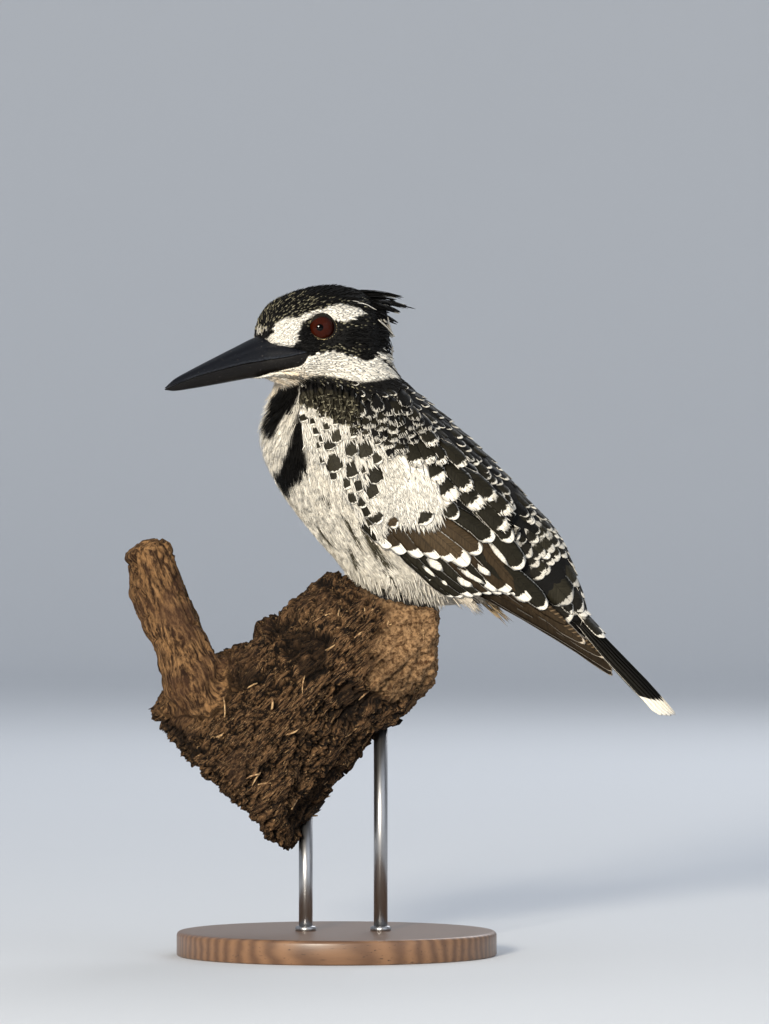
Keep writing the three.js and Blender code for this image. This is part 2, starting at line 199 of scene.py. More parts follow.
def standFor(name, mesh, material, nodes=()):
    piece = bpy.data.objects.new(name, mesh)
    bpy.context.scene.collection.objects.link(piece)
    piece.data.materials.append(material)
    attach(piece, "root")
    if nodes:
        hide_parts(*nodes)
    return piece


def gridFaces(rows, columns, closed=False):
    # four-cornered faces over rows of points, joined round where closed
    r, c = np.meshgrid(np.arange(rows - 1), np.arange(columns if closed else columns - 1), indexing="ij")
    a, b = r * columns + c, r * columns + (c + 1) % columns
    return np.stack([a, b, b + columns, a + columns], -1).reshape(-1, 4)


def tube(rings, capStart=True, capEnd=True):
    # rings (n, around, 3) joined into one closed body: points, corners, sizes
    n, around = rings.shape[:2]
    faces = gridFaces(n, around, closed=True)
    corners, sizes = [faces.ravel()], [np.full(len(faces), 4)]
    if capStart:
        corners.append(np.arange(around)[::-1])
        sizes.append([around])
    if capEnd:
        corners.append((n - 1) * around + np.arange(around))
        sizes.append([around])
    return rings.reshape(-1, 3), np.concatenate(corners), np.concatenate(sizes)


def joinBodies(bodies):
    start, points, corners, sizes = 0, [], [], []
    for p, c, s in bodies:
        points.append(p)
        corners.append(np.asarray(c) + start)
        sizes.append(s)
        start += len(p)
    return np.concatenate(points), np.concatenate(corners), np.concatenate(sizes)


def remeshNodes(names, voxel, swell):
    # one closed surface grown over several CAD solids, so that no gap between them shows
    parts = []
    for name in names:
        points, corners, _ = readMesh(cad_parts[name].data)
        merged, back = np.unique(np.round(points, 3), axis=0, return_inverse=True)
        corners = back.ravel()[corners].reshape(-1, 3)
        a, b, c = (merged[corners[:, k]] for k in range(3))
        across = unit(np.cross(b - a, c - a))
        normal = np.zeros_like(merged)
        for k in range(3):
            np.add.at(normal, corners[:, k], across)
        parts.append((merged + unit(normal) * swell, corners.ravel(), np.full(len(corners), 3)))
    rough = bpy.data.objects.new("rough", writeMesh("rough", *joinBodies(parts)))
    bpy.context.scene.collection.objects.link(rough)
    remesh = rough.modifiers.new("Remesh", "REMESH")
    remesh.mode = "VOXEL"
    remesh.voxel_size = voxel * mm
    remesh.adaptivity = 0
    made = bpy.data.meshes.new_from_object(rough.evaluated_get(bpy.context.evaluated_depsgraph_get()))
    bpy.data.objects.remove(rough)
    return largestIsland(*readMesh(made))


def readMesh(mesh):
    points = np.zeros(len(mesh.vertices) * 3)
    mesh.vertices.foreach_get("co", points)
    corners = np.zeros(len(mesh.loops), np.int32)
    mesh.loops.foreach_get("vertex_index", corners)
    sizes = np.zeros(len(mesh.polygons), np.int32)
    mesh.polygons.foreach_get("loop_total", sizes)
    return points.reshape(-1, 3) / mm, corners, sizes


def edgesOf(corners, sizes):
    starts = startsOf(sizes)
    following = np.arange(len(corners)) + 1
    following[starts + sizes - 1] = starts
    return np.unique(np.sort(np.stack([corners, corners[following]], 1), axis=1), axis=0)


def largestIsland(points, corners, sizes):
    edges = edgesOf(corners, sizes)
    label = np.arange(len(points))
    while True:
        low = np.minimum(label[edges[:, 0]], label[edges[:, 1]])
        new = label.copy()
        np.minimum.at(new, edges[:, 0], low)
        np.minimum.at(new, edges[:, 1], low)
        new = new[new]
        if (new == label).all():
            break
        label = new
    keep = label == np.bincount(label).argmax()
    faceKeep = keep[corners[startsOf(sizes)]]
    renumber = np.cumsum(keep) - 1
    return points[keep], renumber[corners[np.repeat(faceKeep, sizes)]], sizes[faceKeep]


def smoothed(points, edges, rounds, share=0.5):
    count = np.bincount(edges.ravel(), minlength=len(points))[:, None]
    for _ in range(rounds):
        total = np.zeros_like(points)
        for axis in range(3):
            total[:, axis] = (np.bincount(edges[:, 0], points[edges[:, 1], axis], len(points))
                              + np.bincount(edges[:, 1], points[edges[:, 0], axis], len(points)))
        points = points + (total / np.maximum(count, 1) - points) * share
    return points


def normalsOf(points, corners, sizes):
    starts = startsOf(sizes)
    a, b = points[corners[starts]], points[corners[starts + 1]]
    c, d = points[corners[starts + 2]], points[corners[starts + sizes - 1]]
    across = np.cross(c - a, d - b)
    across = np.where(sizes[:, None] == 3, np.cross(b - a, c - a), across)
    total = np.zeros_like(points)
    owner = np.repeat(np.arange(len(sizes)), sizes)
    for axis in range(3):
        total[:, axis] = np.bincount(corners, across[owner, axis], len(points))
    return unit(total)


bench = {}  # the nodes and the shader of the material in hand


class Wire:
    # a node's output, which adds, takes away, multiplies, divides and compares as a number does
    def __init__(self, socket):
        self.socket = socket

    def __add__(self, other):
        return calc("ADD", self, other)

    def __sub__(self, other):
        return calc("SUBTRACT", self, other)

    def __mul__(self, other):
        return calc("MULTIPLY", self, other)

    def __truediv__(self, other):
        return calc("DIVIDE", self, other)

    def __gt__(self, other):
        return calc("GREATER_THAN", self, other)


def feed(socket, value):
    if isinstance(value, Wire):
        bench["tree"].links.new(value.socket, socket)
    else:
        socket.default_value = (*value, 1.0) if socket.type == "RGBA" else value


def put(kind, inputs=None, out=0, **settings):
    # a new node: one of its outputs, or all where out is None
    node = bench["tree"].nodes.new("ShaderNode" + kind)
    for key, value in settings.items():
        setattr(node, key, value)
    for key, value in (inputs or {}).items():
        feed(node.inputs[key], value)
    return [Wire(socket) for socket in node.outputs] if out is None else Wire(node.outputs[out])


def calc(operation, *values):
    return put("Math", dict(enumerate(values)), operation=operation)


def step(value, low, high):
    return put("MapRange", {0: value, 1: low, 2: high}, interpolation_type="SMOOTHSTEP")


def stretch(value, low, high, newLow, newHigh):
    return put("MapRange", {0: value, 1: low, 2: high, 3: newLow, 4: newHigh})


def blend(share, a, b, way="MIX"):
    return put("Mix", {0: share, 6: a, 7: b}, 2, data_type="RGBA", blend_type=way)


def vectorOf(*parts):
    return put("CombineXYZ", dict(enumerate(parts)))


def grey(value):
    return put("CombineColor", {0: value, 1: value, 2: value})


def split(kind, value):
    return put("Separate" + kind, {0: value}, None)


def onObject():
    return put("TexCoord", out="Object")


def grain(vector, scale, detail=3.0, roughness=0.55):
    return put("TexNoise", {"Vector": vector, "Scale": scale, "Detail": detail, "Roughness": roughness})


def attribute(name, part="Color"):
    return put("Attribute", out=part, attribute_name=name)


def startMaterial(name, fixed):
    material = bpy.data.materials.new(name)
    material.use_nodes = True
    bench.update(tree=material.node_tree, shader=material.node_tree.nodes["Principled BSDF"])
    for key, value in fixed.items():
        give(key, value)
    return material


def give(key, value):
    feed(bench["shader"].inputs[key], value)


def roughen(height, strength, distance):
    give("Normal", put("Bump", {"Strength": strength, "Distance": distance * mm, "Height": height}))


print("tools ready")


cream = np.array([0.80, 0.755, 0.665])
buff = np.array([0.62, 0.47, 0.29])
soot = np.array([0.0050, 0.0047, 0.0044])
olive = np.array([0.042, 0.037, 0.024])
umber = np.array([0.13, 0.088, 0.048])
fleckPale = np.array([0.27, 0.245, 0.165])

# outlines on the head, in the head's x (back from the bill) and z (up)
headMarks = {
    "faceSpot": [(-28.2, -3.5), (-26.7, -4.8), (-23.4, -5.8), (-20.1, -6.4), (-18.6, -4.2), (-18.5, -1.5),
                 (-17.5, 0.7), (-16.1, 2.9), (-17, 4.3), (-18.9, 4.5), (-21, 4.6), (-23.4, 3.6), (-25.8, 1.9),
                 (-26.6, -1.1)],
    "browLine": [(-18.4, 2.6), (-15.6, 3.3), (-12.8, 5.0), (-9.6, 6.4), (-8.4, 7.3), (-9.4, 7.9),
                 (-12.2, 6.9), (-15, 5.9), (-17.6, 4.8)],
    "brow": [(-9.8, 7.3), (-7.2, 8.7), (-3.4, 9.3), (-1, 10.1), (1.7, 9.6), (3.9, 9.2), (9.0, 7.4),
             (8.8, 6.3), (5.2, 5.2), (2.2, 3.9), (-0.2, 3.3), (-4.0, 4.2), (-5.6, 5.4), (-9.0, 6.2)],
    "cheek": [(-34.5, -17.0), (-25.2, -14.9), (-20.6, -14.1), (-16.6, -13.5), (-14.9, -12.4), (-14.4, -10.6),
              (-11.9, -8.8), (-6.8, -8.1), (-4.8, -8.3), (-0.9, -8.6), (1.0, -9.3), (5, -10.2), (8.3, -11.4),
              (11.6, -11.0), (13.9, -9.6), (16, -8), (20, -5.5), (34, -16.8), (34, -30), (-44, -30),
              (-44, -18)],
}
# where bare horn runs back under the face, in the same x and z
hornEdge = [(-45, -2), (-30.2, -3.3), (-26.9, -4.6), (-23.4, -5.5), (-20.1, -6.1), (-16.8, -7.1),
            (-14.2, -8.6),
            (-14.4, -11.2), (-15.1, -13.0), (-17.0, -13.7), (-20.6, -14.2), (-25.2, -15.0), (-33.8, -17.4),
            (-45, -21)]
# outlines on the breast, in the whole model's x and z seen from the side
breastMarks = {
    "collar": [(-25, 209.5), (-20, 212.4), (-14.7, 214), (-9.8, 216.6), (-6.5, 217.4), (2, 216.8), (2, 214.5),
               (-6.9, 214), (-12, 211.4), (-14.3, 208), (-17.7, 202.6), (-20.6, 200.4), (-22, 197.6),
               (-24.2, 192.6), (-31, 193.6), (-30, 202)],
    "band": [(-12.8, 204), (-16, 199), (-17, 193.4), (-17.6, 188.6), (-19.4, 186.6), (-20.8, 182), (-26, 178),
             (-24, 170), (-18.6, 171.2), (-16.4, 174.4), (-13.4, 177.4), (-10, 179.4), (-11.6, 187),
             (-12, 193.4), (-12.2, 198.6)],
}
collarHeight = 216.4
collarRows = [(-40, 203), (-24.7, 208.6), (-19.4, 211.9), (-14.1, 213.8), (-9.6, 216.3), (-5, 216.9),
              (2.5, 215.8), (8, 214.6), (13.5, 215), (20, 216.2), (40, 217)]
# dark streaks over the white behind the cheek, in the head's x and z, and their half widths
cheekStreaks = [([(14.8, -8.8), (21.6, -13.3), (24.8, -16), (30, -18.6)], 0.75),
                ([(20, -7), (23.6, -10.7), (26.2, -14.2)], 0.55)]


def softIn(outline, across, up, jag, width):
    return ease(-width, width, insideBy(outline, across, up) + jag)


def underCollar(points):
    # how far points lie below the line where the head's plumage ends
    return read(collarRows, points[:, 0])[0] - points[:, 2]


def markings(points):
    # linear colour of the plumage at points of the head, breast, belly and back
    h = into(headLie, points)
    jag = layered(points * 0.9, 2, 5) * 0.45
    fine = layered(points * np.array([1.1, 1.1, 0.7]), 3, 11)
    white = np.zeros(len(points))
    for outline in headMarks.values():
        white = np.maximum(white, softIn(outline, h[:, 0], h[:, 2], jag, 0.3))
    forehead = ease(1.15, 0.75, np.hypot((h[:, 0] + 29.4) / 1.1, (h[:, 2] - 0.7) / 1.5) + jag * 1.6)
    white = np.maximum(white, forehead * 0.6)
    for line, half in cheekStreaks:
        for start, end in zip(line[:-1], line[1:]):
            white = white * (1 - ease(1.3, 0.7, nearLine(h[:, [0, 2]], start, end)[0] / half + jag * 0.5))
    nape = ease(14, 17, h[:, 0]) * ease(-0.1, 0.25, noise(points * np.array([0.8, 0.8, 0.5]), 8))
    white = white * (1 - nape * ease(-17, -10, h[:, 2]) * 0.85)
    throat = ease(-14, -20, h[:, 2] + 0.12 * h[:, 0]) * ease(2, -14, h[:, 0]) * ease(0.9, -0.3, fine)
    face = towards(soot, towards(cream * (1 + 0.04 * fine[:, None]), buff * 1.2, throat * 0.5), white)

    x, y, z = points.T
    dusk = ease(0.3, 0.95, noise(points * np.array([0.16, 0.3, 0.12]), 21)) * 0.22
    body = towards(cream * (1 + 0.05 * fine[:, None]), buff * 1.05, dusk)
    side = np.abs(y) + 0.4 * jag
    dark = np.maximum(softIn(breastMarks["collar"], x, z, jag * 1.2, 0.6) * ease(3.4, 5.4, side),
                      softIn(breastMarks["band"], x, z, jag * 1.8, 0.9) * ease(1.6, 3.2, side))
    along, out, rise = into(trunkLie, points).T
    above = ease(-2.5, 2.5, rise - np.maximum(7 - 0.25 * (along + 20), -4) - 7 * ease(34, 46, along) + jag)
    above = above * ease(-19, -9, x - 0.12 * (z - 200))
    shoulder = ease(-2, 2, z - 199 + 1.3 * (x + 8)) * ease(-13, -10, x)
    shoulder = shoulder * np.maximum(ease(172, 184, z), ease(-8.2, -6.8, rise) * ease(9, 13, np.abs(out)))
    dark = np.maximum(dark, np.maximum(above, shoulder))
    body = towards(body, (cream + buff) * 0.42, ease(30, 44, along) * 0.75)  # duller at the vent
    body = towards(body, soot * 1.2, dark)
    return np.clip(towards(body, face, ease(-0.5, 0.5, 0.5 * jag - underCollar(points))), 0.003, 0.95)


skinPlan = {
    "voxel": 0.9,
    "swell": 0.28,
    "smoothing": 14,
    "coatDepth": {"head": 0.25, "body": 1.25, "nape": 2.7},
    "hornShare": 0.3,
}
eyePlan = {"middle": (-7.7, 9.4, 1.0), "radius": 5.3, "wide": 4.85, "high": 4.05, "forward": 14, "gaze": 19,
           "lidRings": [(0.95, -0.35), (0.975, 0.1), (1.0, 0.22), (1.03, 0.16), (1.055, 0.02), (1.085, 0.24),
                        (1.12, 0.32), (1.155, 0.2), (1.26, -0.1), (1.4, -0.6)]}


def eyeLie(side):
    # axes at the middle of an eyeball: x back along the head, y out of the eye, z up
    f = math.radians(eyePlan["forward"])
    out = np.array([-math.sin(f), side * math.cos(f), 0])
    back = np.array([math.cos(f), side * math.sin(f), 0])
    return {"middle": outOf(headLie, np.array(eyePlan["middle"]) * (1, side, 1)),
            "axes": np.stack([turnOut(headLie, back), turnOut(headLie, out), [0, 0, 1]], axis=1)}


def reachOf(e):
    # how far places in an eye's axes are from its middle, in widths of its opening
    return np.hypot(e[:, 0] / eyePlan["wide"], e[:, 2] / eyePlan["high"])


def ballHeight(reach):
    return np.sqrt(np.maximum(eyePlan["radius"] ** 2 - reach**2, 0.01))


# the folded wing along the trunk: x, its lower and upper edge, and how far out its face stands
wingRows = [(-47.5, 2, 12, 22), (-38, -5.5, 27, 25.6), (-22, -9, 31.5, 29), (-7, -12, 33, 30.4),
            (11, -13.8, 32.6, 30.3), (23, -14.2, 31.4, 29.4), (34, -13.2, 29, 27.6), (44, -10.2, 25, 24.6),
            (54, -4.2, 19.5, 21), (66, -0.6, 15.6, 17.2), (81, 2.2, 13.2, 13.6), (95, 4.8, 11, 10.8),
            (106, 7, 9.6, 9.2)]


def wingEdges(x):
    low, high, _ = read(wingRows, x)
    return low, high


def wingFace(x, z):
    return read(wingRows, x)[2] * np.sqrt(np.maximum(0.06, 1 - ((z - 3.5) / 39) ** 2))


def growSkin():
    sides = [f"wing_{side}_{part}" for side in ("left", "right") for part in ("coverts", "secondaries")]
    nodes = ["head", "neck", "breast", "mantle", "back", "belly", "rump"] + sides
    points, corners, sizes = remeshNodes(nodes, skinPlan["voxel"], skinPlan["swell"])
    edges = edgesOf(corners, sizes)
    points = smoothed(points, edges, skinPlan["smoothing"])
    depth = skinPlan["coatDepth"]
    x, _, z = into(headLie, points).T
    inward = depth["body"] + (depth["head"] - depth["body"]) * ease(210, 220, points[:, 2])
    inward = inward + ease(9, 19, x) * ease(-11, -6, z) * ease(17, 11, z) * depth["nape"] + skinPlan["swell"]
    points = points - normalsOf(points, corners, sizes) * inward[:, None]
    # drawn in below the wings towards the rear
    t = into(trunkLie, points)
    x, y, z = t.T
    tucked = ease(24, 32, x) * ease(-12.5, -10, z) * ease(18, 14, z)
    deepest = wingFace(x, z) - 2.4 - 6.5 * ease(2, -1, z - wingEdges(x)[0]) * ease(38, 45, x)
    t[:, 1] = np.where(np.abs(y) > deepest, y + tucked * (np.sign(y) * deepest - y), y)
    h = into(headLie, outOf(trunkLie, t))
    h[:, 1] *= 1 - skinPlan["hornShare"] * ease(-0.5, 0.9, insideBy(hornEdge, h[:, 0], h[:, 2]))
    points = outOf(headLie, h)
    for side in (-1, 1):
        lie = eyeLie(side)
        e = into(lie, points)
        reach = reachOf(e)
        near = (e[:, 1] > 0) & (reach < 2.1)
        level = np.where(reach < 1.0, ballHeight(reach * 4.5) - 0.9,
                         np.minimum(e[:, 1], 3.05 + 1.3 * ease(1.0, 2.1, reach)))
        e[:, 1] = np.where(near, np.minimum(e[:, 1], level), e[:, 1])
        points = np.where(near[:, None], outOf(lie, e), points)
    return nodes, smoothed(points, edges, 2, 0.3), corners, sizes


skinNodes, skinPoints, skinCorners, skinSizes = growSkin()
skinNormals = normalsOf(skinPoints, skinCorners, skinSizes)
skinTree = treeOf(skinPoints)
print("skin grown:", len(skinSizes), "faces")


def settle(points):
    # the skin under each point, and its normal there
    near = np.array([[hit[1] for hit in skinTree.find_n(p, 3)] for p in points])
    gap = np.linalg.norm(skinPoints[near] - points[:, None], axis=2) + 0.15
    weight = (1 / gap / (1 / gap).sum(1, keepdims=True))[..., None]
    return (skinPoints[near] * weight).sum(1), unit((skinNormals[near] * weight).sum(1))


# the unwrap goes along a line through the head and trunk, and round it
unwrapLine = np.concatenate([outOf(headLie, [(-75, 0, -20), (-30, 0, -6), (4, 0, -2)]),
                             outOf(trunkLie, [(-34, 0, 6), (0, 0, 4), (40, 0, 10), (80, 0, 12),
                                              (150, 0, 12)])])
unwrapBack = unit(np.concatenate([np.tile([0, 0, 1.0], (3, 1)),
                                  np.tile(turnOut(trunkLie, [0, 0, 1.0]), (5, 1))]))


def unwrapped(points):
    lengths = np.linalg.norm(np.diff(unwrapLine, axis=0), axis=1)
    starts = np.concatenate([[0], np.cumsum(lengths)])
    best = np.full(len(points), 1e9)
    round_, along = np.zeros(len(points)), np.zeros(len(points))
    for i, length in enumerate(lengths):
        tangent = (unwrapLine[i + 1] - unwrapLine[i]) / length
        share = np.clip((points - unwrapLine[i]) @ tangent / length, 0, 1)
        foot = unwrapLine[i] + share[:, None] * tangent * length
        gap = np.linalg.norm(points - foot, axis=1)
        back = unit(unwrapBack[i] + share[:, None] * (unwrapBack[i + 1] - unwrapBack[i]))
        angle = np.arctan2(dot(points - foot, np.cross(tangent, back))[:, 0], dot(points - foot, back)[:, 0])
        closer = gap < best
        best = np.where(closer, gap, best)
        round_ = np.where(closer, 0.5 + angle / math.tau, round_)
        along = np.where(closer, (starts[i] + share * length) / starts[-1], along)
    return np.stack([np.clip(round_, 0.002, 0.998), np.clip(along, 0.002, 0.998)], -1)


def unwrappedCorners(points, corners, sizes):
    # the unwrap at each corner of each face, with the faces on its seam kept whole
    flat = unwrapped(points)[corners]
    owner = np.repeat(np.arange(len(sizes)), sizes)
    highest, lowest = np.zeros(len(sizes)), np.ones(len(sizes))
    np.maximum.at(highest, owner, flat[:, 0])
    np.minimum.at(lowest, owner, flat[:, 0])
    flat[(highest - lowest > 0.5)[owner] & (flat[:, 0] < 0.5), 0] = 1.0
    return flat


def skinMaterial():
    material = startMaterial("skinUnderFeathers", {"Roughness": 0.75, "Specular IOR Level": 0.12})
    down = grain(onObject(), 900, 4)
    give("Base Color", blend(1.0, attribute("tint"), grey(stretch(down, 0.3, 0.7, 0.7, 1.0)), "MULTIPLY"))
    roughen(down, 0.5, 0.2)
    return material


def lidBody(side):
    # lids as one ring, from the eyeball out to under the face feathers: points, corners, sizes, tints
    lie, around = eyeLie(side), 96
    angle = np.arange(around) / around * math.tau
    rings, tints = [], []
    wet, pale, dark = np.array([(0.012, 0.007, 0.006), (0.60, 0.47, 0.24), (0.012, 0.011, 0.009)])
    front = np.exp(-(((angle - math.pi * 1.03) / 0.3) ** 2))  # the pointed corner towards the bill
    for k, (spread, lift) in enumerate(eyePlan["lidRings"]):
        corner = 1 + 0.02 * np.cos(angle * 2) + front * (0.05 + 0.05 * min(k, 4))
        x = np.cos(angle) * eyePlan["wide"] * spread * corner
        z = np.sin(angle) * eyePlan["high"] * spread - 0.25 * front * (k > 1)
        base = ballHeight(np.hypot(x, z)) if k < 4 else 2.8
        wrinkle = 0.05 * np.sin(angle * 29 + k) * (k in (5, 6, 7))
        rings.append(outOf(lie, np.stack([x, base + lift + wrinkle, z], -1)))
        tint = np.tile(wet if k < 2 else dark, (around, 1))
        if k in (3, 5, 6, 7):
            lower = ease(0.75, 0.2, np.sin(angle)) if k == 6 else ease(0.4, -0.5, np.sin(angle)) * 0.9
            patches = np.stack([np.cos(angle) * 3.3, np.sin(angle) * 3.3, np.full(around, k + side)], -1)
            share = np.maximum(ease(-0.45, 0.25, noise(patches, 4)), 0.7 * (k == 6)) * lower
            tint = towards(tint, pale, share * (0.45 if k == 3 else 1.0))
        tints.append(tint)
    rings = np.array(rings)
    if side > 0:
        rings = rings[:, ::-1]
        tints = [t[::-1] for t in tints]
    under = rings[::-1][1:-1] - turnOut(headLie, np.array([0, side, 0])) * 0.9
    loop = np.concatenate([rings, under])
    faces = gridFaces(len(loop) + 1, around, closed=True) % (len(loop) * around)
    allTints = np.concatenate([np.concatenate(tints), np.tile(dark, (len(under) * around, 1))])
    return loop.reshape(-1, 3), faces.ravel(), np.full(len(faces), 4), allTints


def skin():
    bodies, tints = [(skinPoints, skinCorners, skinSizes)], [markings(skinPoints)]
    for side in (-1, 1):
        *body, tint = lidBody(side)
        bodies.append(body)
        tints.append(tint)
    points, corners, sizes = joinBodies(bodies)
    tint = np.concatenate([np.concatenate(tints), np.ones((len(points), 1))], axis=1)
    mesh = writeMesh("skin", points, corners, sizes,
                     {"OFBake": unwrappedCorners(points, corners, sizes)}, {"tint": tint})
    standFor("skin", mesh, skinMaterial(), skinNodes)


skin()
print("skin and lids made")


def eyeMaterial():
    material = startMaterial("eyeWineBrown", {"Roughness": 0.5, "Specular IOR Level": 0.0,
                                              "Coat Weight": 0.22, "Coat Roughness": 0.015})
    reach = attribute("ring", "Fac")
    iris = blend(grain(put("UVMap", uv_map="iris"), 9, 5), (0.010, 0.0018, 0.0008), (0.042, 0.0062, 0.0016))
    iris = blend(step(reach, 3.5, 4.7), iris, (0.012, 0.002, 0.0012))
    give("Base Color", blend(step(reach, 1.45, 1.2), iris, (0.0008, 0.0007, 0.0007)))
    return material


def eyes():
    material, radius = eyeMaterial(), eyePlan["radius"]
    angle = np.arange(56) / 56 * math.tau
    turn = np.linspace(0, math.pi, 30)[1:-1, None]
    gaze = math.radians(eyePlan["gaze"])
    for side, name in ((-1, "eye_left"), (1, "eye_right")):
        reach = np.sin(turn) * radius
        rings = stacked(reach * np.cos(angle), np.cos(turn) * radius, reach * np.sin(angle))
        if side > 0:
            rings = rings[:, ::-1]
        points, corners, sizes = tube(outOf(eyeLie(side), rings))
        facing = (rings @ np.array([-math.sin(gaze), math.cos(gaze), 0])) / radius
        ring = np.where(facing > 0, radius * np.sqrt(np.maximum(1 - facing**2, 0)), 9.0).ravel()
        flat = stacked(angle / math.tau * 6, reach / 5.3 * 0.5).reshape(-1, 2)
        bake = 0.5 + rings[..., [0, 2]].reshape(-1, 2) / 11
        mesh = writeMesh(name, points, corners, sizes, {"OFBake": bake, "iris": flat}, {"ring": ring})
        standFor(name + "_ball", mesh, material, [name])


eyes()


billPlan = {
    "culmen": [(-69, -21.8, 0.3), (-65, -18.7, 1.3), (-57.9, -15.2, 2.4), (-49.5, -11.4, 3.4),
               (-40, -7.2, 4.6),
               (-30, -3.0, 6.3), (-26, -2.6, 7.7), (-22, -3.2, 9.2), (-18, -4.6, 10.5), (-11.5, -6.6, 11.6)],
    "mouth": [(-69, -22.1), (-62, -19.3), (-56, -17.2), (-46, -14.6), (-38, -12.7), (-28, -11.0), (-21, -9.8),
              (-15.5, -8.5), (-11.5, -7.6)],
    "chin": [(-69, -22.5, 0.3), (-65, -22.8, 1.2), (-57.9, -21.9, 2.2), (-49.5, -20.6, 3.1),
             (-40, -19.0, 4.2),
             (-30, -17.3, 6.0), (-26, -16.9, 7.5), (-22, -16.8, 9.1), (-18, -16.6, 10.3), (-14, -16.2, 11.0),
             (-11.5, -15.0, 11.0)],
    "stations": 150,
    "around": 30,
    "nostril": {"x": -27.4, "rise": 2.5, "long": 2.6, "high": 0.55, "deep": 0.75},
}


def billMaterial(name, shade, warm):
    material = startMaterial(name, {"Roughness": 0.3, "IOR": 1.5, "Specular IOR Level": 0.2})
    x, y, _ = split("XYZ", put("UVMap", uv_map="horn"))
    lines = grain(vectorOf(x * 0.12, y * 2.2), 1.6, 5, 0.6)
    chalk = grain(vectorOf(x * 0.8, y), 1.7, 6, 0.75)
    nicks = grain(vectorOf(x, y * 1.4), 0.9, 2, 0.5)
    base = step(x, 30, 44)
    worn = step(chalk, 0.56, 0.70) * base
    colour = blend(worn * 0.6, blend(lines, shade, warm), (0.10, 0.09, 0.095))
    colour = blend(step(nicks, 0.70, 0.76) * 0.6, colour, (0.30, 0.27, 0.24))
    # a painted highlight: a pale blue-grey line along the mouth edge of the upper half, broken up by the
    # chalky noise
    give("Base Color", blend(attribute("rim", "Fac") * step(chalk, 0.35, 0.6), colour, (0.05, 0.057, 0.07)))
    give("Roughness", stretch(lines, 0.3, 0.7, 0.24, 0.42) + base * 0.18)
    roughen(lines + worn * 0.9, 0.45, 0.14)
    return material


def billHalf(upper):
    # one half of the bill as rings from its tip to where feathers cover it
    x = -69 + 57.5 * (np.linspace(0, 1, billPlan["stations"]) ** 1.05)
    mouth = read(billPlan["mouth"], x)[0]
    edge, half = read(billPlan["culmen" if upper else "chin"], x)
    x, mouth, edge, half = (value[:, None] for value in (x, mouth, edge, half))
    angle = np.linspace(0, math.pi, billPlan["around"])
    y = half * np.sign(np.cos(angle)) * np.abs(np.cos(angle)) ** 0.9
    z = mouth + (edge - mouth) * np.sin(angle) ** (0.82 if upper else 1.1)
    if upper:
        z = z + np.exp(-((angle - math.pi / 2) / 0.22) ** 2) * 0.045 * (edge - mouth)
        n = billPlan["nostril"]
        rise = z - (mouth + (edge - mouth) * 0.55)
        shut = np.exp(-(((x - n["x"]) / n["long"]) ** 2
                        + ((rise - 0.07 * (x - n["x"])) / n["high"]) ** 2) ** 2)
        y = y - np.sign(y) * shut * n["deep"]
        y = y - np.sign(y) * np.exp(-((rise + 0.3) / 0.8) ** 2) * ease(-58, -40, x) * 0.32  # its groove
    lip = 1 if upper else -1
    floor = stacked(x, half * 0.86 * np.cos(np.linspace(math.pi, 0, 9)[1:-1]), mouth + 0.12 * lip)
    rings = np.concatenate([stacked(x, y, z + 0.10 * lip), floor], 1)
    return (rings if upper else rings[:, ::-1]), x[:, 0]


def bill():
    for upper, name, shade, warm in (
            (True, "bill_upper", (0.0012, 0.0015, 0.0027), (0.0034, 0.0040, 0.0066)),
            (False, "bill_lower", (0.0020, 0.0016, 0.0014), (0.0055, 0.0041, 0.0032))):
        rings, x = billHalf(upper)
        around = rings.shape[1]
        points, corners, sizes = tube(outOf(headLie, rings[:, ::-1]))
        number, x = np.tile(np.arange(around), len(x)), np.repeat(x, around)
        height = into(headLie, points)[:, 2] - read(billPlan["mouth"], x)[0]
        # the mask of the painted highlight: a band along the mouth edge of the upper half, fading out towards
        # the tip
        rim = ease(0.75, 0.25, np.abs(height)) * ease(-66, -58, x) * (0.7 if upper else 0.0)
        bake = np.stack([(x + 69) / 58, number / around], -1) * 0.98 + 0.01
        horn = np.stack([x + 69, number * 0.8], -1)
        mesh = writeMesh(name, points, corners, sizes, {"OFBake": bake, "horn": horn}, {"rim": rim})
        standFor(name + "_horn", mesh, billMaterial(name + "Black", shade, warm), [name])


bill()
print("eyes and bill made")


branchPlan = {
    "voxel": 0.95,
    "swell": 0.25,
    "cracks": 3.4,
    "fibres": 0.9,
    "stubLine": [(-38, -6, 78), (-50, -14, 92), (-55, -13, 106), (-62, -10, 126), (-74, -6, 160)],
    "splinters": 80,
}


def branchMaterial():
    material = startMaterial("weatheredBark", {"Roughness": 0.92, "Specular IOR Level": 0.12})
    along, place = attribute("grainAxes", "Vector"), attribute("place", "Vector")
    hollowShade, cut, stubShare = split("Color", attribute("wood"))
    fibre, flake = grain(along, 1.3, 8, 0.72), grain(along, 3.3, 6, 0.7)
    patch, crumb = grain(place, 0.05, 5, 0.65), grain(place, 0.55, 6, 0.7)
    bark = blend(step(fibre, 0.44, 0.60), (0.006, 0.004, 0.003), (0.150, 0.082, 0.039))
    bark = blend(step(flake, 0.57, 0.65), bark, (0.42, 0.26, 0.125))
    bark = blend(step(patch, 0.50, 0.62) * 0.45, bark, (0.035, 0.019, 0.011))
    # painted shade: the cracks and pits darkened nearly to black
    bark = blend(hollowShade, bark, (0.006, 0.004, 0.003))
    stub = blend(step(fibre, 0.40, 0.66), (0.020, 0.010, 0.006), (0.29, 0.16, 0.070))
    stub = blend(step(patch, 0.5, 0.6) * 0.6, stub, (0.06, 0.03, 0.017))
    pale = blend(step(crumb, 0.36, 0.66), (0.075, 0.036, 0.016), (0.46, 0.28, 0.14))
    give("Base Color", blend(cut, blend(stubShare, bark, stub), pale))
    roughen(fibre * 0.9 + flake * 0.5 + crumb * cut * 1.4, 1.0, 1.1)
    return material


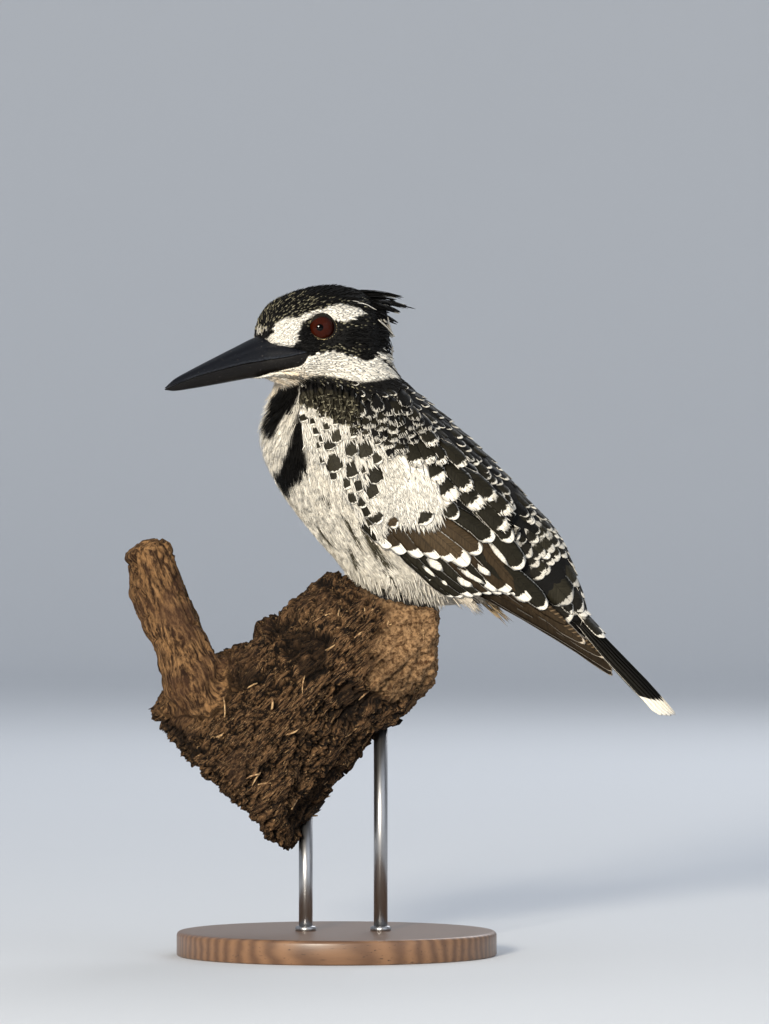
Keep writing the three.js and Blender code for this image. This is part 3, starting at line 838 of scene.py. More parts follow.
def tornWood():
    material = startMaterial("tornWood", {"Roughness": 0.8})
    straw = step(grain(onObject(), 900, 4), 0.35, 0.65)
    give("Base Color", blend(straw, (0.17, 0.085, 0.035), (0.50, 0.33, 0.16)))
    return material


def splinters(points, normals, p):
    # torn strips of paler wood lying along the branch
    ready = np.flatnonzero((p[:, 0] > 12) & (p[:, 0] < 140) & (p[:, 2] < 24))
    bodies = []
    for pick in chance.choice(ready, branchPlan["splinters"], replace=False):
        foot, up = points[pick], normals[pick]
        way = turnOut(branchLie, np.array([1.0, 0, 0])) * chance.choice([-1, 1])
        way = unit(way + chance.normal(0, 0.55, 3))
        way = unit(way - (way @ up) * up)
        across = np.cross(way, up)
        length, half = chance.uniform(2.5, 9), chance.uniform(0.2, 0.6)
        rings = []
        for share, wide in ((0, 0.7), (0.3, 1.0), (0.7, 0.8), (1, 0.25)):
            middle = foot + way * length * (share - 0.35)
            middle = middle + up * (-0.2 + 0.5 * share**2) + across * 0.5 * math.sin(share * 3)
            rings.append([middle + across * half * wide, middle + up * 0.45 * wide,
                          middle - across * half * wide, middle - up * 0.35 * wide])
        bodies.append(tube(np.array(rings)))
    return joinBodies(bodies)


def branch():
    nodes = ["perch_log", "perch_stub"]
    points, corners, sizes = remeshNodes(nodes, branchPlan["voxel"], branchPlan["swell"])
    edges = edgesOf(corners, sizes)
    points = smoothed(points, edges, 5)
    normals = unit(smoothed(normalsOf(points, corners, sizes), edges, 8))
    p = into(branchLie, points)
    line = np.array(branchPlan["stubLine"], float)
    stubAxis = unit(line[-1] - line[1])
    away = np.minimum.reduce([nearLine(points, a, b)[0] for a, b in zip(line[1:], line[2:])])
    stub = ease(19, 13, away) * ease(82, 98, points[:, 2])
    alongStub = (points - line[0]) @ stubAxis
    acrossStub = points - line[0] - alongStub[:, None] * stubAxis
    trunkGrain = p * np.array([0.16, 1, 1])
    stubGrain = np.concatenate([alongStub[:, None] * 0.12, acrossStub[:, 1:]], axis=1) + 40
    axes = towards(trunkGrain, stubGrain, stub > 0.5)
    end = ease(-5, 5, points[:, 0] - 24 + 0.5 * np.abs(points[:, 2] - 108)
               + 8 * layered(points * 0.07, 4, 59))
    end = end * ease(92, 102, points[:, 2] + 6 * layered(points * 0.09, 3, 63)) * (1 - stub)
    torn = ease(80, 92, alongStub) * stub

    broken = layered(axes * np.array([0.5, 0.30, 0.30]) + 3, 4, 31)
    swollen = layered(axes * np.array([0.6, 0.12, 0.12]) + 9, 3, 33)
    crack = ease(0.78, 0.98,
                 1 - np.abs(layered(axes * np.array([0.8, 0.42, 0.42]), 4, 37))) * branchPlan["cracks"]
    fibre = layered(axes * np.array([1.0, 1.5, 1.5]), 3, 41) * branchPlan["fibres"]
    pits = ease(0.15, 0.75, layered(p * 0.07, 3, 47)) * 3.2
    crumbs = layered(points * 0.35, 4, 61) * 1.3 + layered(points * 0.9, 2, 67) * 0.5
    top = ease(26, 31, p[:, 2]) * ease(60, 90, p[:, 0]) * 0.7
    calm = (1 - 0.6 * stub) * (1 - 0.8 * end) * (1 - top)
    move = (broken * 1.3 - crack + swollen * 1.6 + fibre - pits) * calm + crumbs * end * (1 - top) - 0.7
    move = move + stub * layered(points * 0.09, 2, 71) * 1.6
    points = points + normals * (move * ease(4, 12, p[:, 0] + 40))[:, None]
    points = points + stubAxis * (torn * (layered(acrossStub * 0.22, 3, 73) * 4.5 - 2.0))[:, None]

    # painted shade for the cracks and pits, strongest in the deepest of them, less on the stub and the cut
    # end
    hollowShade = ease(0.05, -1.6, 0.6 - crack) * 0.95 + ease(0.5, 2.0, pits) * 0.75
    hollowShade = np.clip(hollowShade, 0, 1) * (1 - stub * 0.6) * (1 - 0.7 * end)
    wood = stacked(hollowShade, np.clip(end + torn * 0.5, 0, 1), stub, 1.0)
    bake = stacked(0.5 + np.arctan2(p[:, 1], p[:, 2]) / math.tau, np.clip((p[:, 0] + 5) / 175, 0, 1))
    mesh = writeMesh("branch", points, corners, sizes, {"along": bake},
                     {"wood": wood, "grainAxes": axes, "place": points})
    standFor("perch_branch", mesh, branchMaterial(), nodes)
    normals = unit(smoothed(normalsOf(points, corners, sizes), edges, 3))
    standFor("perch_splinters", writeMesh("splinters", *splinters(points, normals, p)), tornWood())


branch()
print("branch made")


standPlan = {"radius": 60, "height": 9, "chamfer": 1.5, "rod": 2.6, "around": 128, "rodAround": 40}


def standWood():
    material = startMaterial("turnedOak", {"Roughness": 0.42, "Coat Weight": 0.25, "Coat Roughness": 0.3})
    x, y, z = split("XYZ", onObject())
    drawn = vectorOf(x * 0.08, y, z)
    rings = put("TexWave", {"Vector": drawn, "Scale": 85.0, "Distortion": 3.5, "Detail": 3.0,
                            "Detail Scale": 1.2},
                1, wave_type="BANDS", bands_direction="Y")
    pores = grain(drawn, 1500, 3, 0.6)
    colour = blend(rings, (0.105, 0.052, 0.026), (0.20, 0.105, 0.052))
    give("Base Color", blend(step(pores, 0.6, 0.72), colour, (0.05, 0.024, 0.012)))
    roughen(pores, 0.25, 0.1)
    return material


def standSteel():
    material = startMaterial("brushedSteel", {"Metallic": 1.0, "Roughness": 0.32})
    brush = grain(put("Mapping", {"Vector": onObject(), "Scale": (4000, 4000, 60)}), 1.0, 2)
    give("Base Color", blend(brush, (0.30, 0.30, 0.31), (0.44, 0.44, 0.45)))
    give("Roughness", stretch(brush, 0.0, 1.0, 0.25, 0.42))
    return material


def turnedRings(profile, around, middle=0):
    # a profile of (radius, height) from the bottom up, turned round an upright axis
    angle = np.arange(around) / around * math.tau
    r, z = np.array(profile, float).T[..., None]
    return stacked(middle + r * np.cos(angle), r * np.sin(angle), z)


def stand():
    c, top, wide, r = (standPlan[key] for key in ("chamfer", "height", "radius", "rod"))
    corner = [(wide - c + c * math.sin(t), top - c + c * math.cos(t)) for t in np.linspace(math.pi / 2, 0, 6)]
    profile = [(wide * 0.5, 0), (wide - 0.5, 0), (wide, 0.5), *corner, (wide - 5, top), (wide * 0.5, top),
               (2, top)]
    mesh = writeMesh("standBase", *tube(turnedRings(profile, standPlan["around"])))
    standFor("stand_base_turned", mesh, standWood(), ["stand_base"])
    steel = standSteel()
    for name in ("stand_rod_front", "stand_rod_rear"):
        low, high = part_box(name)
        column = [(r, low.z / mm), (r, high.z / mm)]
        collar = [(r + 1.3, top - 0.4), (r + 1.3, top + 1.3), (r + 0.9, top + 1.8), (r, top + 1.9)]
        body = joinBodies([tube(turnedRings(profile, standPlan["rodAround"], (low.x + high.x) / 2 / mm))
                           for profile in (column, collar)])
        standFor(name + "_turned", writeMesh(name, *body), steel, [name])


stand()
print("stand made")


def footSkin():
    material = startMaterial("footSkin", {"Roughness": 0.5})
    cells = put("TexVoronoi", {"Vector": onObject(), "Scale": 1100.0}, feature="DISTANCE_TO_EDGE")
    give("Base Color", blend(step(cells, 0.0, 0.25), (0.012, 0.011, 0.011), (0.045, 0.04, 0.038)))
    roughen(cells, 0.6, 0.3)
    return material


def clawHorn():
    material = startMaterial("clawHorn", {"Roughness": 0.3})
    give("Base Color", blend(grain(onObject(), 1400, 3), (0.006, 0.006, 0.007), (0.03, 0.028, 0.03)))
    return material


def feet():
    foot, horn = footSkin(), clawHorn()
    for name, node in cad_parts.items():
        if name.startswith(("leg_", "foot_", "claw_")):
            node.data.materials.clear()
            node.data.materials.append(horn if name.startswith("claw_") else foot)


feet()


# the breadth of a feather at shares of its length
outlines = {
    "body": [(0, 0.35), (0.22, 0.72), (0.45, 0.95), (0.64, 1.0), (0.8, 0.93), (0.91, 0.72), (0.975, 0.42),
             (1, 0.14)],
    "lancet": [(0, 0.5), (0.4, 1.0), (0.75, 0.72), (1, 0.1)],
    "scale": [(0, 0.4), (0.35, 0.85), (0.65, 1.0), (0.86, 0.84), (0.96, 0.5), (1, 0.15)],
    "flight": [(0, 0.45), (0.2, 0.8), (0.4, 0.97), (0.6, 1.0), (0.78, 0.98), (0.88, 0.88), (0.95, 0.68),
               (0.985, 0.42), (1, 0.14)],
    "pinion": [(0, 0.4), (0.15, 0.8), (0.35, 1.0), (0.6, 0.92), (0.75, 0.8), (0.86, 0.66), (0.94, 0.48),
               (0.985, 0.28), (1, 0.1)],
}
shares = {name: np.array(rows)[:, 0] for name, rows in outlines.items()}
barbShares = np.array([0, 0.4, 0.75, 1.0])
acrossSteps = {"fine": (-1, -0.62, -0.25, 0, 0.25, 0.62, 1), "plain": (-1, -0.55, 0, 0.55, 1),
               "slim": (-1, 0, 1)}
bakePatch = 0.003


def addToBed(bed, points, corners, sizes, roots, local, vane, mark, looks):
    # adds points (n, count, 3) to a bed, with the faces and the unwrap that every feather of them has
    n, count = points.shape[:2]
    rows = {"points": points.reshape(-1, 3), "sizes": np.tile(sizes, n), "vane": vane.reshape(-1, 2),
            "corners": (corners + (np.arange(n) * count)[:, None] + bed["count"]).ravel(),
            "bake": (np.clip(unwrapped(roots), 0.003, 0.994)[:, None] + local * bakePatch).reshape(-1, 2),
            "mark": mark.reshape(-1, 3), "plan": np.repeat(looks["plan"], count, axis=0),
            "spot": np.repeat(looks["spot"], count, axis=0)}
    for key, fourth in (("tint", "luck"), ("edge", "rough"), ("down", "rough")):
        colour = looks[key]
        flat = colour.reshape(-1, 3) if colour.ndim == 3 else np.repeat(colour, count, axis=0)
        rows[key] = np.concatenate([flat, np.repeat(looks[fourth], count)[:, None]], 1)
    for key, value in rows.items():
        bed.setdefault(key, []).append(value)
    bed["count"] += n * count


def styled(n, tint, edge=cream, down=cream, tip=0.0, dark=40.0, side=0.0, bow=0.0, every=0.0, size=0.0,
           web=0.0, rough=1.0):
    # what a run of feathers looks like; each value is one for all or one for each feather
    def each(*values):
        return stacked(*values, np.zeros(n))[:, :-1]
    colours = {key: np.broadcast_to(value, (n, 3))
               for key, value in (("tint", tint), ("edge", edge), ("down", down))}
    return {**colours, "plan": each(tip, dark, side, bow), "spot": each(every, size, web),
            "luck": chance.random(n), "rough": np.broadcast_to(rough, n)}


def quads(index):
    return np.stack([index[:-1, :-1], index[:-1, 1:], index[1:, 1:], index[1:, :-1]], -1).reshape(-1, 4)


def addVanes(bed, spines, normals, half, looks, outline="body", across="plain", camber=0.22, thick=0.16,
             shaft=0.07, roll=0.0):
    # closed thin vanes along spines (n, count, 3): an upper and an under face that share their rim
    share, width = np.array(outlines[outline]).T
    u = np.array(acrossSteps[across], float)
    (n, count), m = spines.shape[:2], len(u)
    tangent = unit(np.gradient(spines, axis=1))
    normals = unit(normals - dot(normals, tangent) * tangent)
    sideways = np.cross(tangent, normals)[:, :, None]
    w = (np.broadcast_to(half, n)[:, None] * width)[..., None]
    ragged = 1 + 0.07 * chance.standard_normal((n, count, 1)) * (np.abs(u) > 0.9)
    ridge = shaft * (np.abs(u) < 0.01) * (1 - share[:, None])
    rise = ridge - w * (camber * u**2 - roll * u)
    top = spines[:, :, None] + sideways * (w * u * ragged)[..., None] + normals[:, :, None] * rise[..., None]
    under = top - normals[:, :, None] * (thick + ridge[..., None])
    upper = np.arange(count * m).reshape(count, m)
    lower = upper.copy()
    lower[1:-1, 1:-1] = count * m + np.arange((count - 2) * (m - 2)).reshape(count - 2, m - 2)
    corners = np.concatenate([quads(upper), quads(lower)[:, ::-1]]).ravel()
    length = np.linalg.norm(np.diff(spines, axis=1), axis=2).sum(1)[:, None, None]
    along, fromTip = share[:, None] * length, (1 - share[:, None]) * length
    rim = np.minimum((1 - np.abs(u)) * w, fromTip * 0.9)

    def bodies(values, below=None):
        # values of the upper face, then those of the under face inside its rim
        inner = (values if below is None else below)[:, 1:-1, 1:-1]
        k = values.shape[-1]
        return np.concatenate([values.reshape(-1, count * m, k), inner.reshape(-1, (count - 2) * (m - 2), k)],
                              axis=1)
    addToBed(bed, bodies(top, under), corners, np.full(len(corners) // 4, 4), spines[:, 0],
             bodies(stacked(u * 0.5 + 0.5, share[:, None])[None]), bodies(stacked(u * w, along)),
             bodies(stacked(rim, fromTip, np.abs(u))), looks)


# a barb's faces: three sides in two lengths, a point and a closed root
strandCorners = [q for k in (0, 3) for a, b in ((0, 1), (1, 2), (2, 0))
                 for q in (k + a, k + b, k + b + 3, k + a + 3)]
strandCorners += [q for a, b in ((6, 7), (7, 8), (8, 6)) for q in (a, b, 9)] + [0, 2, 1]
strandSizes = [4] * 6 + [3] * 4
strandLocal = np.array([(0.2, 0), (0.8, 0), (0.5, 0), (0.25, 0.4), (0.75, 0.4), (0.5, 0.4), (0.35, 0.75),
                        (0.65, 0.75), (0.5, 0.75), (0.5, 1)])


def addStrands(bed, spines, normals, half, tint, shading=(1, 1, 1, 1), thick=0.5):
    # closed three-sided barbs along spines (n, 4, 3), their tint shaded at each of their four places
    n, tints = len(spines), tint[:, None] * np.array(shading)[:, None]
    tangent = unit(np.gradient(spines, axis=1))
    sideways = unit(np.cross(tangent, normals))
    upward = np.cross(sideways, tangent)[:, :3]
    w = (np.broadcast_to(half, n)[:, None] * np.array([0.8, 1.0, 0.62]))[..., None]
    ring, sideways = spines[:, :3], sideways[:, :3] * w
    rings = np.stack([ring + sideways, ring - sideways, ring + upward * (w * thick)], 2).reshape(n, 9, 3)
    tint = np.concatenate([np.repeat(tints[:, :3], 3, axis=1), tints[:, 3:]], axis=1)
    looks = {**styled(n, soot), "tint": tint}
    addToBed(bed, np.concatenate([rings, spines[:, 3:]], axis=1), np.array(strandCorners), strandSizes,
             spines[:, 0], strandLocal, np.full((n, 10, 2), 5.0), np.full((n, 10, 3), 9.0), looks)


def plumageMaterial(name, gloss=0.5, bars=0.0):
    # dark barbed vanes whose pale end, edge and spots, bars and shaft follow what each feather carries
    material = startMaterial(name, {"Roughness": gloss, "Specular IOR Level": 0.06})
    across, along, _ = split("XYZ", put("UVMap", uv_map="vane"))
    rim, fromTip, share = split("XYZ", attribute("mark", "Vector"))
    tip, dark, side = split("Color", attribute("plan"))
    every, size, web = split("XYZ", attribute("spot", "Vector"))
    bow, luck, rough = attribute("plan", "Alpha"), attribute("tint", "Alpha"), attribute("down", "Alpha")
    out = calc("ABSOLUTE", across)
    barb = along - out * 0.95
    where = vectorOf(barb, out * 0.16, luck * 91.0)
    streak, fine = grain(where, 1.5, 3, 0.6), grain(where, 5.5, 2, 0.6)
    ragged = (streak - 0.5) * 2.4 + (fine - 0.5) * 1.3
    reach = fromTip - bow * calc("POWER", share, 2.0) + ragged * (rough * 0.5)
    tipMask = step(tip - reach, -0.12, 0.12) * (tip > 0.01)
    sideMask = step(side - (rim + ragged * (rough * 0.26)), -0.08, 0.08) * (side > 0.01)
    pitch = calc("MAXIMUM", every, 0.01)
    a = (calc("FRACT", along / pitch) - 0.5) * pitch / calc("MAXIMUM", size, 0.01)
    b = (share - 0.82) / 0.46
    far = calc("SQRT", a * a + b * b) + ragged * 0.05
    spotMask = step(far, 1.06, 0.94) * (every > 0.5) * (web * across > -0.001)
    pale = calc("MAXIMUM", calc("MAXIMUM", tipMask, sideMask), spotMask)
    colour = blend(step(reach - (tip + dark), -0.5, 0.5), attribute("tint"), attribute("down"))
    if bars:
        bar = put("TexWave", {"Vector": vectorOf(barb, 0.0, 0.0), "Scale": 0.15, "Distortion": 0.9,
                              "Detail": 1.0},
                  1, wave_type="BANDS", bands_direction="X")
        colour = blend(step(bar, 0.6, 0.9) * bars * step(web * across, 0.15, 0.5), colour, umber * 1.5)
    colour = blend(pale, colour, attribute("edge"))
    light = stretch(streak, 0.3, 0.7, 0.6, 1.3) * stretch(fine, 0.3, 0.7, 0.86, 1.12)
    softer = (light - 1.0) * 0.35 + 1.0
    shade = put("Mix", {0: pale, 2: light, 3: softer}, data_type="FLOAT")
    colour = blend(1.0, colour, grey(shade), "MULTIPLY")
    shaft = step(out, 0.17, 0.09) * (fromTip > 0.6) * (bow > 0.01)
    give("Base Color", blend(shaft * 0.5, colour, (0.008, 0.006, 0.005)))
    roughen(streak + fine * 0.7, 0.55, 0.18)
    return material


def bedPiece(bed, name, material, nodes=()):
    del bed["count"]
    made = {key: np.concatenate(value) for key, value in bed.items()}
    points, corners, sizes, bake, vane = (made.pop(key) for key in ("points", "corners", "sizes", "bake",
                                                                    "vane"))
    print(name, (sizes - 2).sum(), "triangles")
    standFor(name, writeMesh(name, points, corners, sizes, {"OFBake": bake, "vane": vane}, made), material,
             nodes)


billRoot = outOf(headLie, (-31, 0, -9))
neckMiddle = np.array([-2, -3, 236.0])


def lieOfCoat(points):
    # the way feathers point: back from the bill on the head, then down from the neck and along the trunk
    back = turnOut(headLie, [0.62, 0, -0.1]) * ease(-34, -12, into(headLie, points)[:, 0])[:, None]
    headWay = unit(unit(points - billRoot) * 0.55 + back)
    trunk = into(trunkLie, points)
    share = (1 - ease(-38, 18, trunk[:, 0]))[:, None]
    tail = turnOut(trunkLie, stacked(1.0, 0.0, np.where(trunk[:, 2] > 12, 0.0, -0.10)))
    bodyWay = unit(unit(points - neckMiddle) * share + tail * (1.02 - share))
    up = ease(209, 219, points[:, 2])[:, None]
    return unit(headWay * up + bodyWay * (1 - up))


def trail(roots, lengths, steps, dip, rise, swing=0.0, way=lieOfCoat):
    # spines that start at roots and run over the skin, from dip below it to rise above it
    lengths, dip, rise, turn = (np.broadcast_to(value, len(roots))[:, None]
                                for value in (lengths, dip, rise, np.radians(swing)))
    under, normal = settle(roots)
    p = roots - dot(roots - under, normal) * normal
    spines, normals, aim = [p - normal * dip], [normal], None
    for before, now in zip(steps[:-1], steps[1:]):
        new = way(p)
        new = unit(new - dot(new, normal) * normal)
        new = new * np.cos(turn) + np.cross(normal, new) * np.sin(turn)
        aim = new if aim is None else unit(aim * 0.5 + new * 0.5)
        aim = unit(aim - dot(aim, normal) * normal)
        p = p + aim * ((now - before) * lengths)
        under, normal = settle(p)
        p = p - dot(p - under, normal) * normal
        spines.append(p + normal * ((dip + rise) * now**0.85 - dip))
        normals.append(normal)
    return np.stack(spines, 1), np.stack(normals, 1)


def scatter(count):
    # places all over the skin, even by area
    starts = startsOf(skinSizes)
    a, b, c = (skinPoints[skinCorners[starts + k]] for k in range(3))
    area = np.linalg.norm(np.cross(b - a, c - a), axis=1)
    picks = chance.choice(len(starts), count, p=area / area.sum())
    s, t = chance.random((2, count, 1))
    return a[picks] + (b[picks] - a[picks]) * s + (c[picks] - b[picks]) * t


def thinOut(points, spacing):
    # picks points no closer to each other than their spacing
    tree = treeOf(points)
    spacing = np.broadcast_to(spacing, len(points))
    free = np.ones(len(points), bool)
    kept = []
    for number, point in enumerate(points):
        if free[number]:
            kept.append(number)
            free[[hit[1] for hit in tree.find_range(point, spacing[number])]] = False
    return np.array(kept)


def eyeReach(points):
    # how far each point is from the middle of the nearer eye, in widths of its opening
    places = [into(eyeLie(side), points) for side in (-1, 1)]
    return np.minimum(*(np.where(e[:, 1] > -2, reachOf(e), 9) for e in places))


def onWing(trunk):
    # how far a place on the trunk's side lies inside the folded wing
    x, y, z = trunk.T
    low, high = wingEdges(x)
    return np.minimum(np.minimum(z - low, high - z), x + 47) * (np.abs(y) > 8)


def wingPlace(side, x, z, lift):
    # a place on the outer face of a folded wing, in the whole model's frame, and the way out of it
    y = wingFace(x, z)
    out = unit(np.stack([wingFace(x - 0.5, z) - wingFace(x + 0.5, z), np.ones_like(x),
                         wingFace(x, z - 0.5) - wingFace(x, z + 0.5)], -1))
    place = np.stack([x, y, z], -1) + out * np.asarray(lift)[..., None]
    flip = np.array([1, side, 1])
    return outOf(trunkLie, place * flip), turnOut(trunkLie, out * flip)


def layWing(bed, side, tips, turns, lengths, half, lifts, looks, outline="flight", across="plain", bend=0.0,
            **how):
    # feathers laid on a folded wing, given by where their tips are and how far they turn from the
    # trunk's line
    share = shares[outline]
    tips = np.array(tips, float)
    turns, bend, lengths, low, high = (np.broadcast_to(value, len(tips))[:, None]
                                       for value in (np.radians(turns), np.radians(bend), lengths, *lifts))
    back, turns = (1 - share) * lengths, turns + bend * (1 - share)
    x, z = tips[:, :1] - back * np.cos(turns), tips[:, 1:] - back * np.sin(turns)
    spines, normals = wingPlace(side, x, z, low * (1 - share) + high * share)
    addVanes(bed, spines, normals, half, looks, outline, across, **how)


headCoat = {"candidates": 52000, "spacing": 0.78, "length": (1.9, 4.4), "half": 0.52, "rise": 0.34}


def headFeathers():
    bed = {"count": 0}
    points = scatter(headCoat["candidates"] * 5)
    points = points[points[:, 2] > 205][: headCoat["candidates"]]
    x, _, z = into(headLie, points).T
    points = points[(eyeReach(points) > 1.14) & (insideBy(hornEdge, x, z) <= 0.15)
                    & (underCollar(points) < 2.5)]
    growth = ease(-32, 12, into(headLie, points)[:, 0])
    kept = thinOut(points, headCoat["spacing"] * (0.72 + 0.5 * growth))
    points, growth, n = points[kept], growth[kept], len(kept)
    x, _, z = into(headLie, points).T
    nape = ease(12, 20, x) * ease(-12, -6, z)
    shortest, longest = headCoat["length"]
    lengths = (shortest + (longest - shortest) * growth) * vary(0.85, 0.3, n) * (1 + 0.9 * nape)
    lengths = lengths * np.clip((eyeReach(points) - 0.95) / 0.75, 0.4, 1)  # short round the eye
    pale = markings(points).mean(1) > 0.25
    rise = headCoat["rise"] * vary(0.6, 0.9, n) * np.where(pale, 0.28, 1) * (1 + 3.0 * nape)
    rise = rise * (1 + 0.8 * ease(4, 9, z))
    spines, normals = trail(points, lengths, shares["lancet"], np.where(pale, 0.12, 0.3), rise,
                            chance.normal(0, 6, n))
    tint = markings(spines[:, 2])
    bright = tint.mean(1) > 0.25
    crown = ease(-0.5, 2.5, z) * ease(13, 4, x) * ease(12.2, 10.5, z - 0.12 * np.abs(x))
    lores = ease(-4, -5.5, z) * ease(-14, -11, x) * ease(8, 2, x)
    brow = ease(-27.4, -28.6, x) * ease(-1.8, -0.8, z) * ease(3.6, 2.4, z)
    flecked = ~bright & (chance.random(n) < np.maximum(0.56 * crown, np.maximum(lores * 0.85, brow * 0.7)))
    strength = (0.25 + 0.85 * chance.random((n, 1)) ** 1.5) * (1 + 1.6 * brow[:, None])
    edge = np.where(flecked[:, None], fleckPale * strength, tint)
    tint = tint * vary(0.85, 0.3, n, 1)
    looks = styled(n, tint, edge, tip=np.where(flecked, vary(0.7, 1.1, n), 0.0), rough=0.6)
    half = headCoat["half"] * (0.72 + 0.42 * growth) * vary(0.85, 0.3, n) * np.where(bright, 1.6, 1)
    relief = np.where(bright, 0.3, 1.0)[:, None, None]
    addVanes(bed, spines, normals, half * np.where(flecked, 0.72, 1), looks, "lancet", "slim",
             camber=0.28 * relief, thick=0.1 * relief[..., None], shaft=0.1 * relief)
    paleBarbs(bed)
    return bed


def paleBarbs(bed):
    # fine barbs that smooth the white parts of the face and fray their borders
    points = scatter(90000)
    points = points[points[:, 2] > 205]
    x, _, z = into(headLie, points).T
    keep = (markings(points).mean(1) > 0.35) & (eyeReach(points) > 1.2) & (insideBy(hornEdge, x, z) < 0)
    points = points[keep & (underCollar(points) < 0.5)]
    points = points[thinOut(points, 0.76)]
    n = len(points)
    lengths = (2.4 + 1.6 * ease(-28, 8, into(headLie, points)[:, 0])) * vary(0.8, 0.4, n)
    lengths = lengths * np.clip((eyeReach(points) - 0.95) / 0.75, 0.35, 1)
    spines, normals = trail(points, lengths, barbShares, 0.05, vary(0.1, 0.06, n), chance.normal(0, 5, n))
    stays = (markings(spines[:, 3]).mean(1) > 0.3) | (chance.random(n) < 0.3)
    spines, normals = spines[stays], normals[stays]
    addStrands(bed, spines, normals, 0.34, markings(spines[:, 1]) * vary(0.92, 0.14, len(spines), 1),
               thick=0.14)


def chinFeathers(bed):
    # the pointed wedge of short feathers that runs forward under the lower half of the bill
    n, share = 620, shares["lancet"]
    x = -32.2 + 11.5 * chance.random(n) ** 0.8
    under, half = read(billPlan["chin"], x)
    across = chance.uniform(-1, 1, n) * 0.93
    y = across * half
    z = under + (1 - np.sqrt(1 - across**2)) * 2.6 * ease(-35, -24, x) - 0.05
    along = ((2.4 + 2.6 * ease(-34, -24, x)) * vary(0.8, 0.4, n))[:, None] * share
    drop = (0.10 + 0.22 * ease(-30, -22, x))[:, None] * along + 0.12 * share
    spines = outOf(headLie, stacked(x[:, None] + along, y[:, None] * (1 + 0.03 * along), z[:, None] - drop))
    out = turnOut(headLie, unit(stacked(0.0, y * 0.9, -half)))[:, None]
    tint = towards(cream, buff * 1.25, ease(-31, -22, x) * vary(0.3, 0.5, n))
    addVanes(bed, spines, np.broadcast_to(out, spines.shape), 0.6, styled(n, tint, tint), "lancet", "slim",
             0.28, 0.1, 0.1)


crestPlan = {
    "locks": [  # where each lock starts and ends in the head's frame, how many feathers, and how pale it is
        {"root": (13, 0, 14.6), "tip": (33.8, -1.5, 13.3), "count": 46, "pale": 0.04},
        {"root": (15, -2, 13.0), "tip": (30.5, -2.5, 12.0), "count": 22, "pale": 0.07},
        {"root": (15, 0, 12.0), "tip": (39.6, -1.0, 8.9), "count": 12, "pale": 0.0},
        {"root": (16, -3, 11.2), "tip": (34.6, -3, 9.8), "count": 26, "pale": 0.1},
        {"root": (17, -5, 9.6), "tip": (30.4, -4, 7.2), "count": 30, "pale": 0.12},
        {"root": (17, -7, 6.6), "tip": (28.6, -5, 3.6), "count": 26, "pale": 0.08},
        {"root": (15.6, -9, 4.4), "tip": (27.0, -5.5, -1.9), "count": 44, "pale": 0.9, "half": 0.8},
        {"root": (18.5, -8, 0.5), "tip": (25.4, -5, -4.2), "count": 20, "pale": 0.1},
        {"root": (19, -7.5, -3.0), "tip": (27.6, -5, -7.4), "count": 20, "pale": 0.1},
        {"root": (18.5, -8.5, -6.5), "tip": (25.6, -6, -10.6), "count": 16, "pale": 0.5},
        {"root": (3, -11.4, 10.4), "tip": (15.5, -10.8, 8.4), "count": 9, "pale": 0.6, "half": 0.28},
    ],
    "mirrored": 4,  # from this lock on, each has a like one on the other side
    "half": 0.6,
}


def crestFeathers(bed):
    s = shares["pinion"][:, None]
    locks = [dict(lock, side=1) for lock in crestPlan["locks"]]
    locks += [dict(lock, side=-1) for lock in crestPlan["locks"][crestPlan["mirrored"]:]]
    for lock in locks:
        n, flip = lock["count"], np.array([1, lock["side"], 1])
        root = np.array(lock["root"]) * flip + chance.normal(0, 1, (n, 3)) * np.array([2.0, 2.0, 0.55])
        tip = np.array(lock["tip"]) * flip + chance.normal(0, 1, (n, 3)) * np.array([0, 0.8, 0.4])
        tip = tip + (root - tip) * chance.random((n, 1)) ** 1.3 * 0.55
        arch = np.array([0, 0, 0.7]) * np.sin(s * math.pi)
        spines = outOf(headLie, root[:, None] * (1 - s) + tip[:, None] * s + arch)
        out = turnOut(headLie, np.array([0, lock["root"][1] * 0.3 * lock["side"], 1.0]))
        out = np.broadcast_to(unit(out + chance.normal(0, 0.3, (n, 1, 3))), spines.shape)
        tint = soot * 1.3 * vary(0.7, 0.6, n, 1)
        light = chance.random((n, 1)) < lock["pale"]
        tint = np.where(light, cream * vary(0.5, 0.4, n, 1), tint)
        half = lock.get("half", crestPlan["half"]) * vary(0.5, 0.8, n)
        addVanes(bed, spines, out, half, styled(n, tint, tint), "pinion", "slim", 0.3, 0.12, 0.1)


softCoat = {
    "under": {"candidates": 9000, "spacing": 2.9, "length": 8.5, "half": 2.3, "rise": 0.35},
    "barbs": {"candidates": 60000, "spacing": 0.98, "length": 9.0, "half": 0.17, "rise": 0.6, "each": 4},
}


def softGround(points):
    # where the soft pale plumage shows: not on the head, the back or the wings
    trunk = into(trunkLie, points)
    belly = (trunk[:, 2] < 13) & (onWing(trunk) < 1.5 + 3 * ease(34, 42, trunk[:, 0]))
    belly &= (trunk[:, 0] < 43) | (np.abs(trunk[:, 1]) < 12)
    return belly & (points[:, 2] < collarHeight + 1)


def puffed(points):
    # how much further than elsewhere the plumage stands out at the front of the breast
    x, _, z = points.T
    return (2.3 + 1.0 * ease(194, 205, z)) * ease(170, 203, z) * ease(216, 210.5, z) * ease(-12, -21, x)


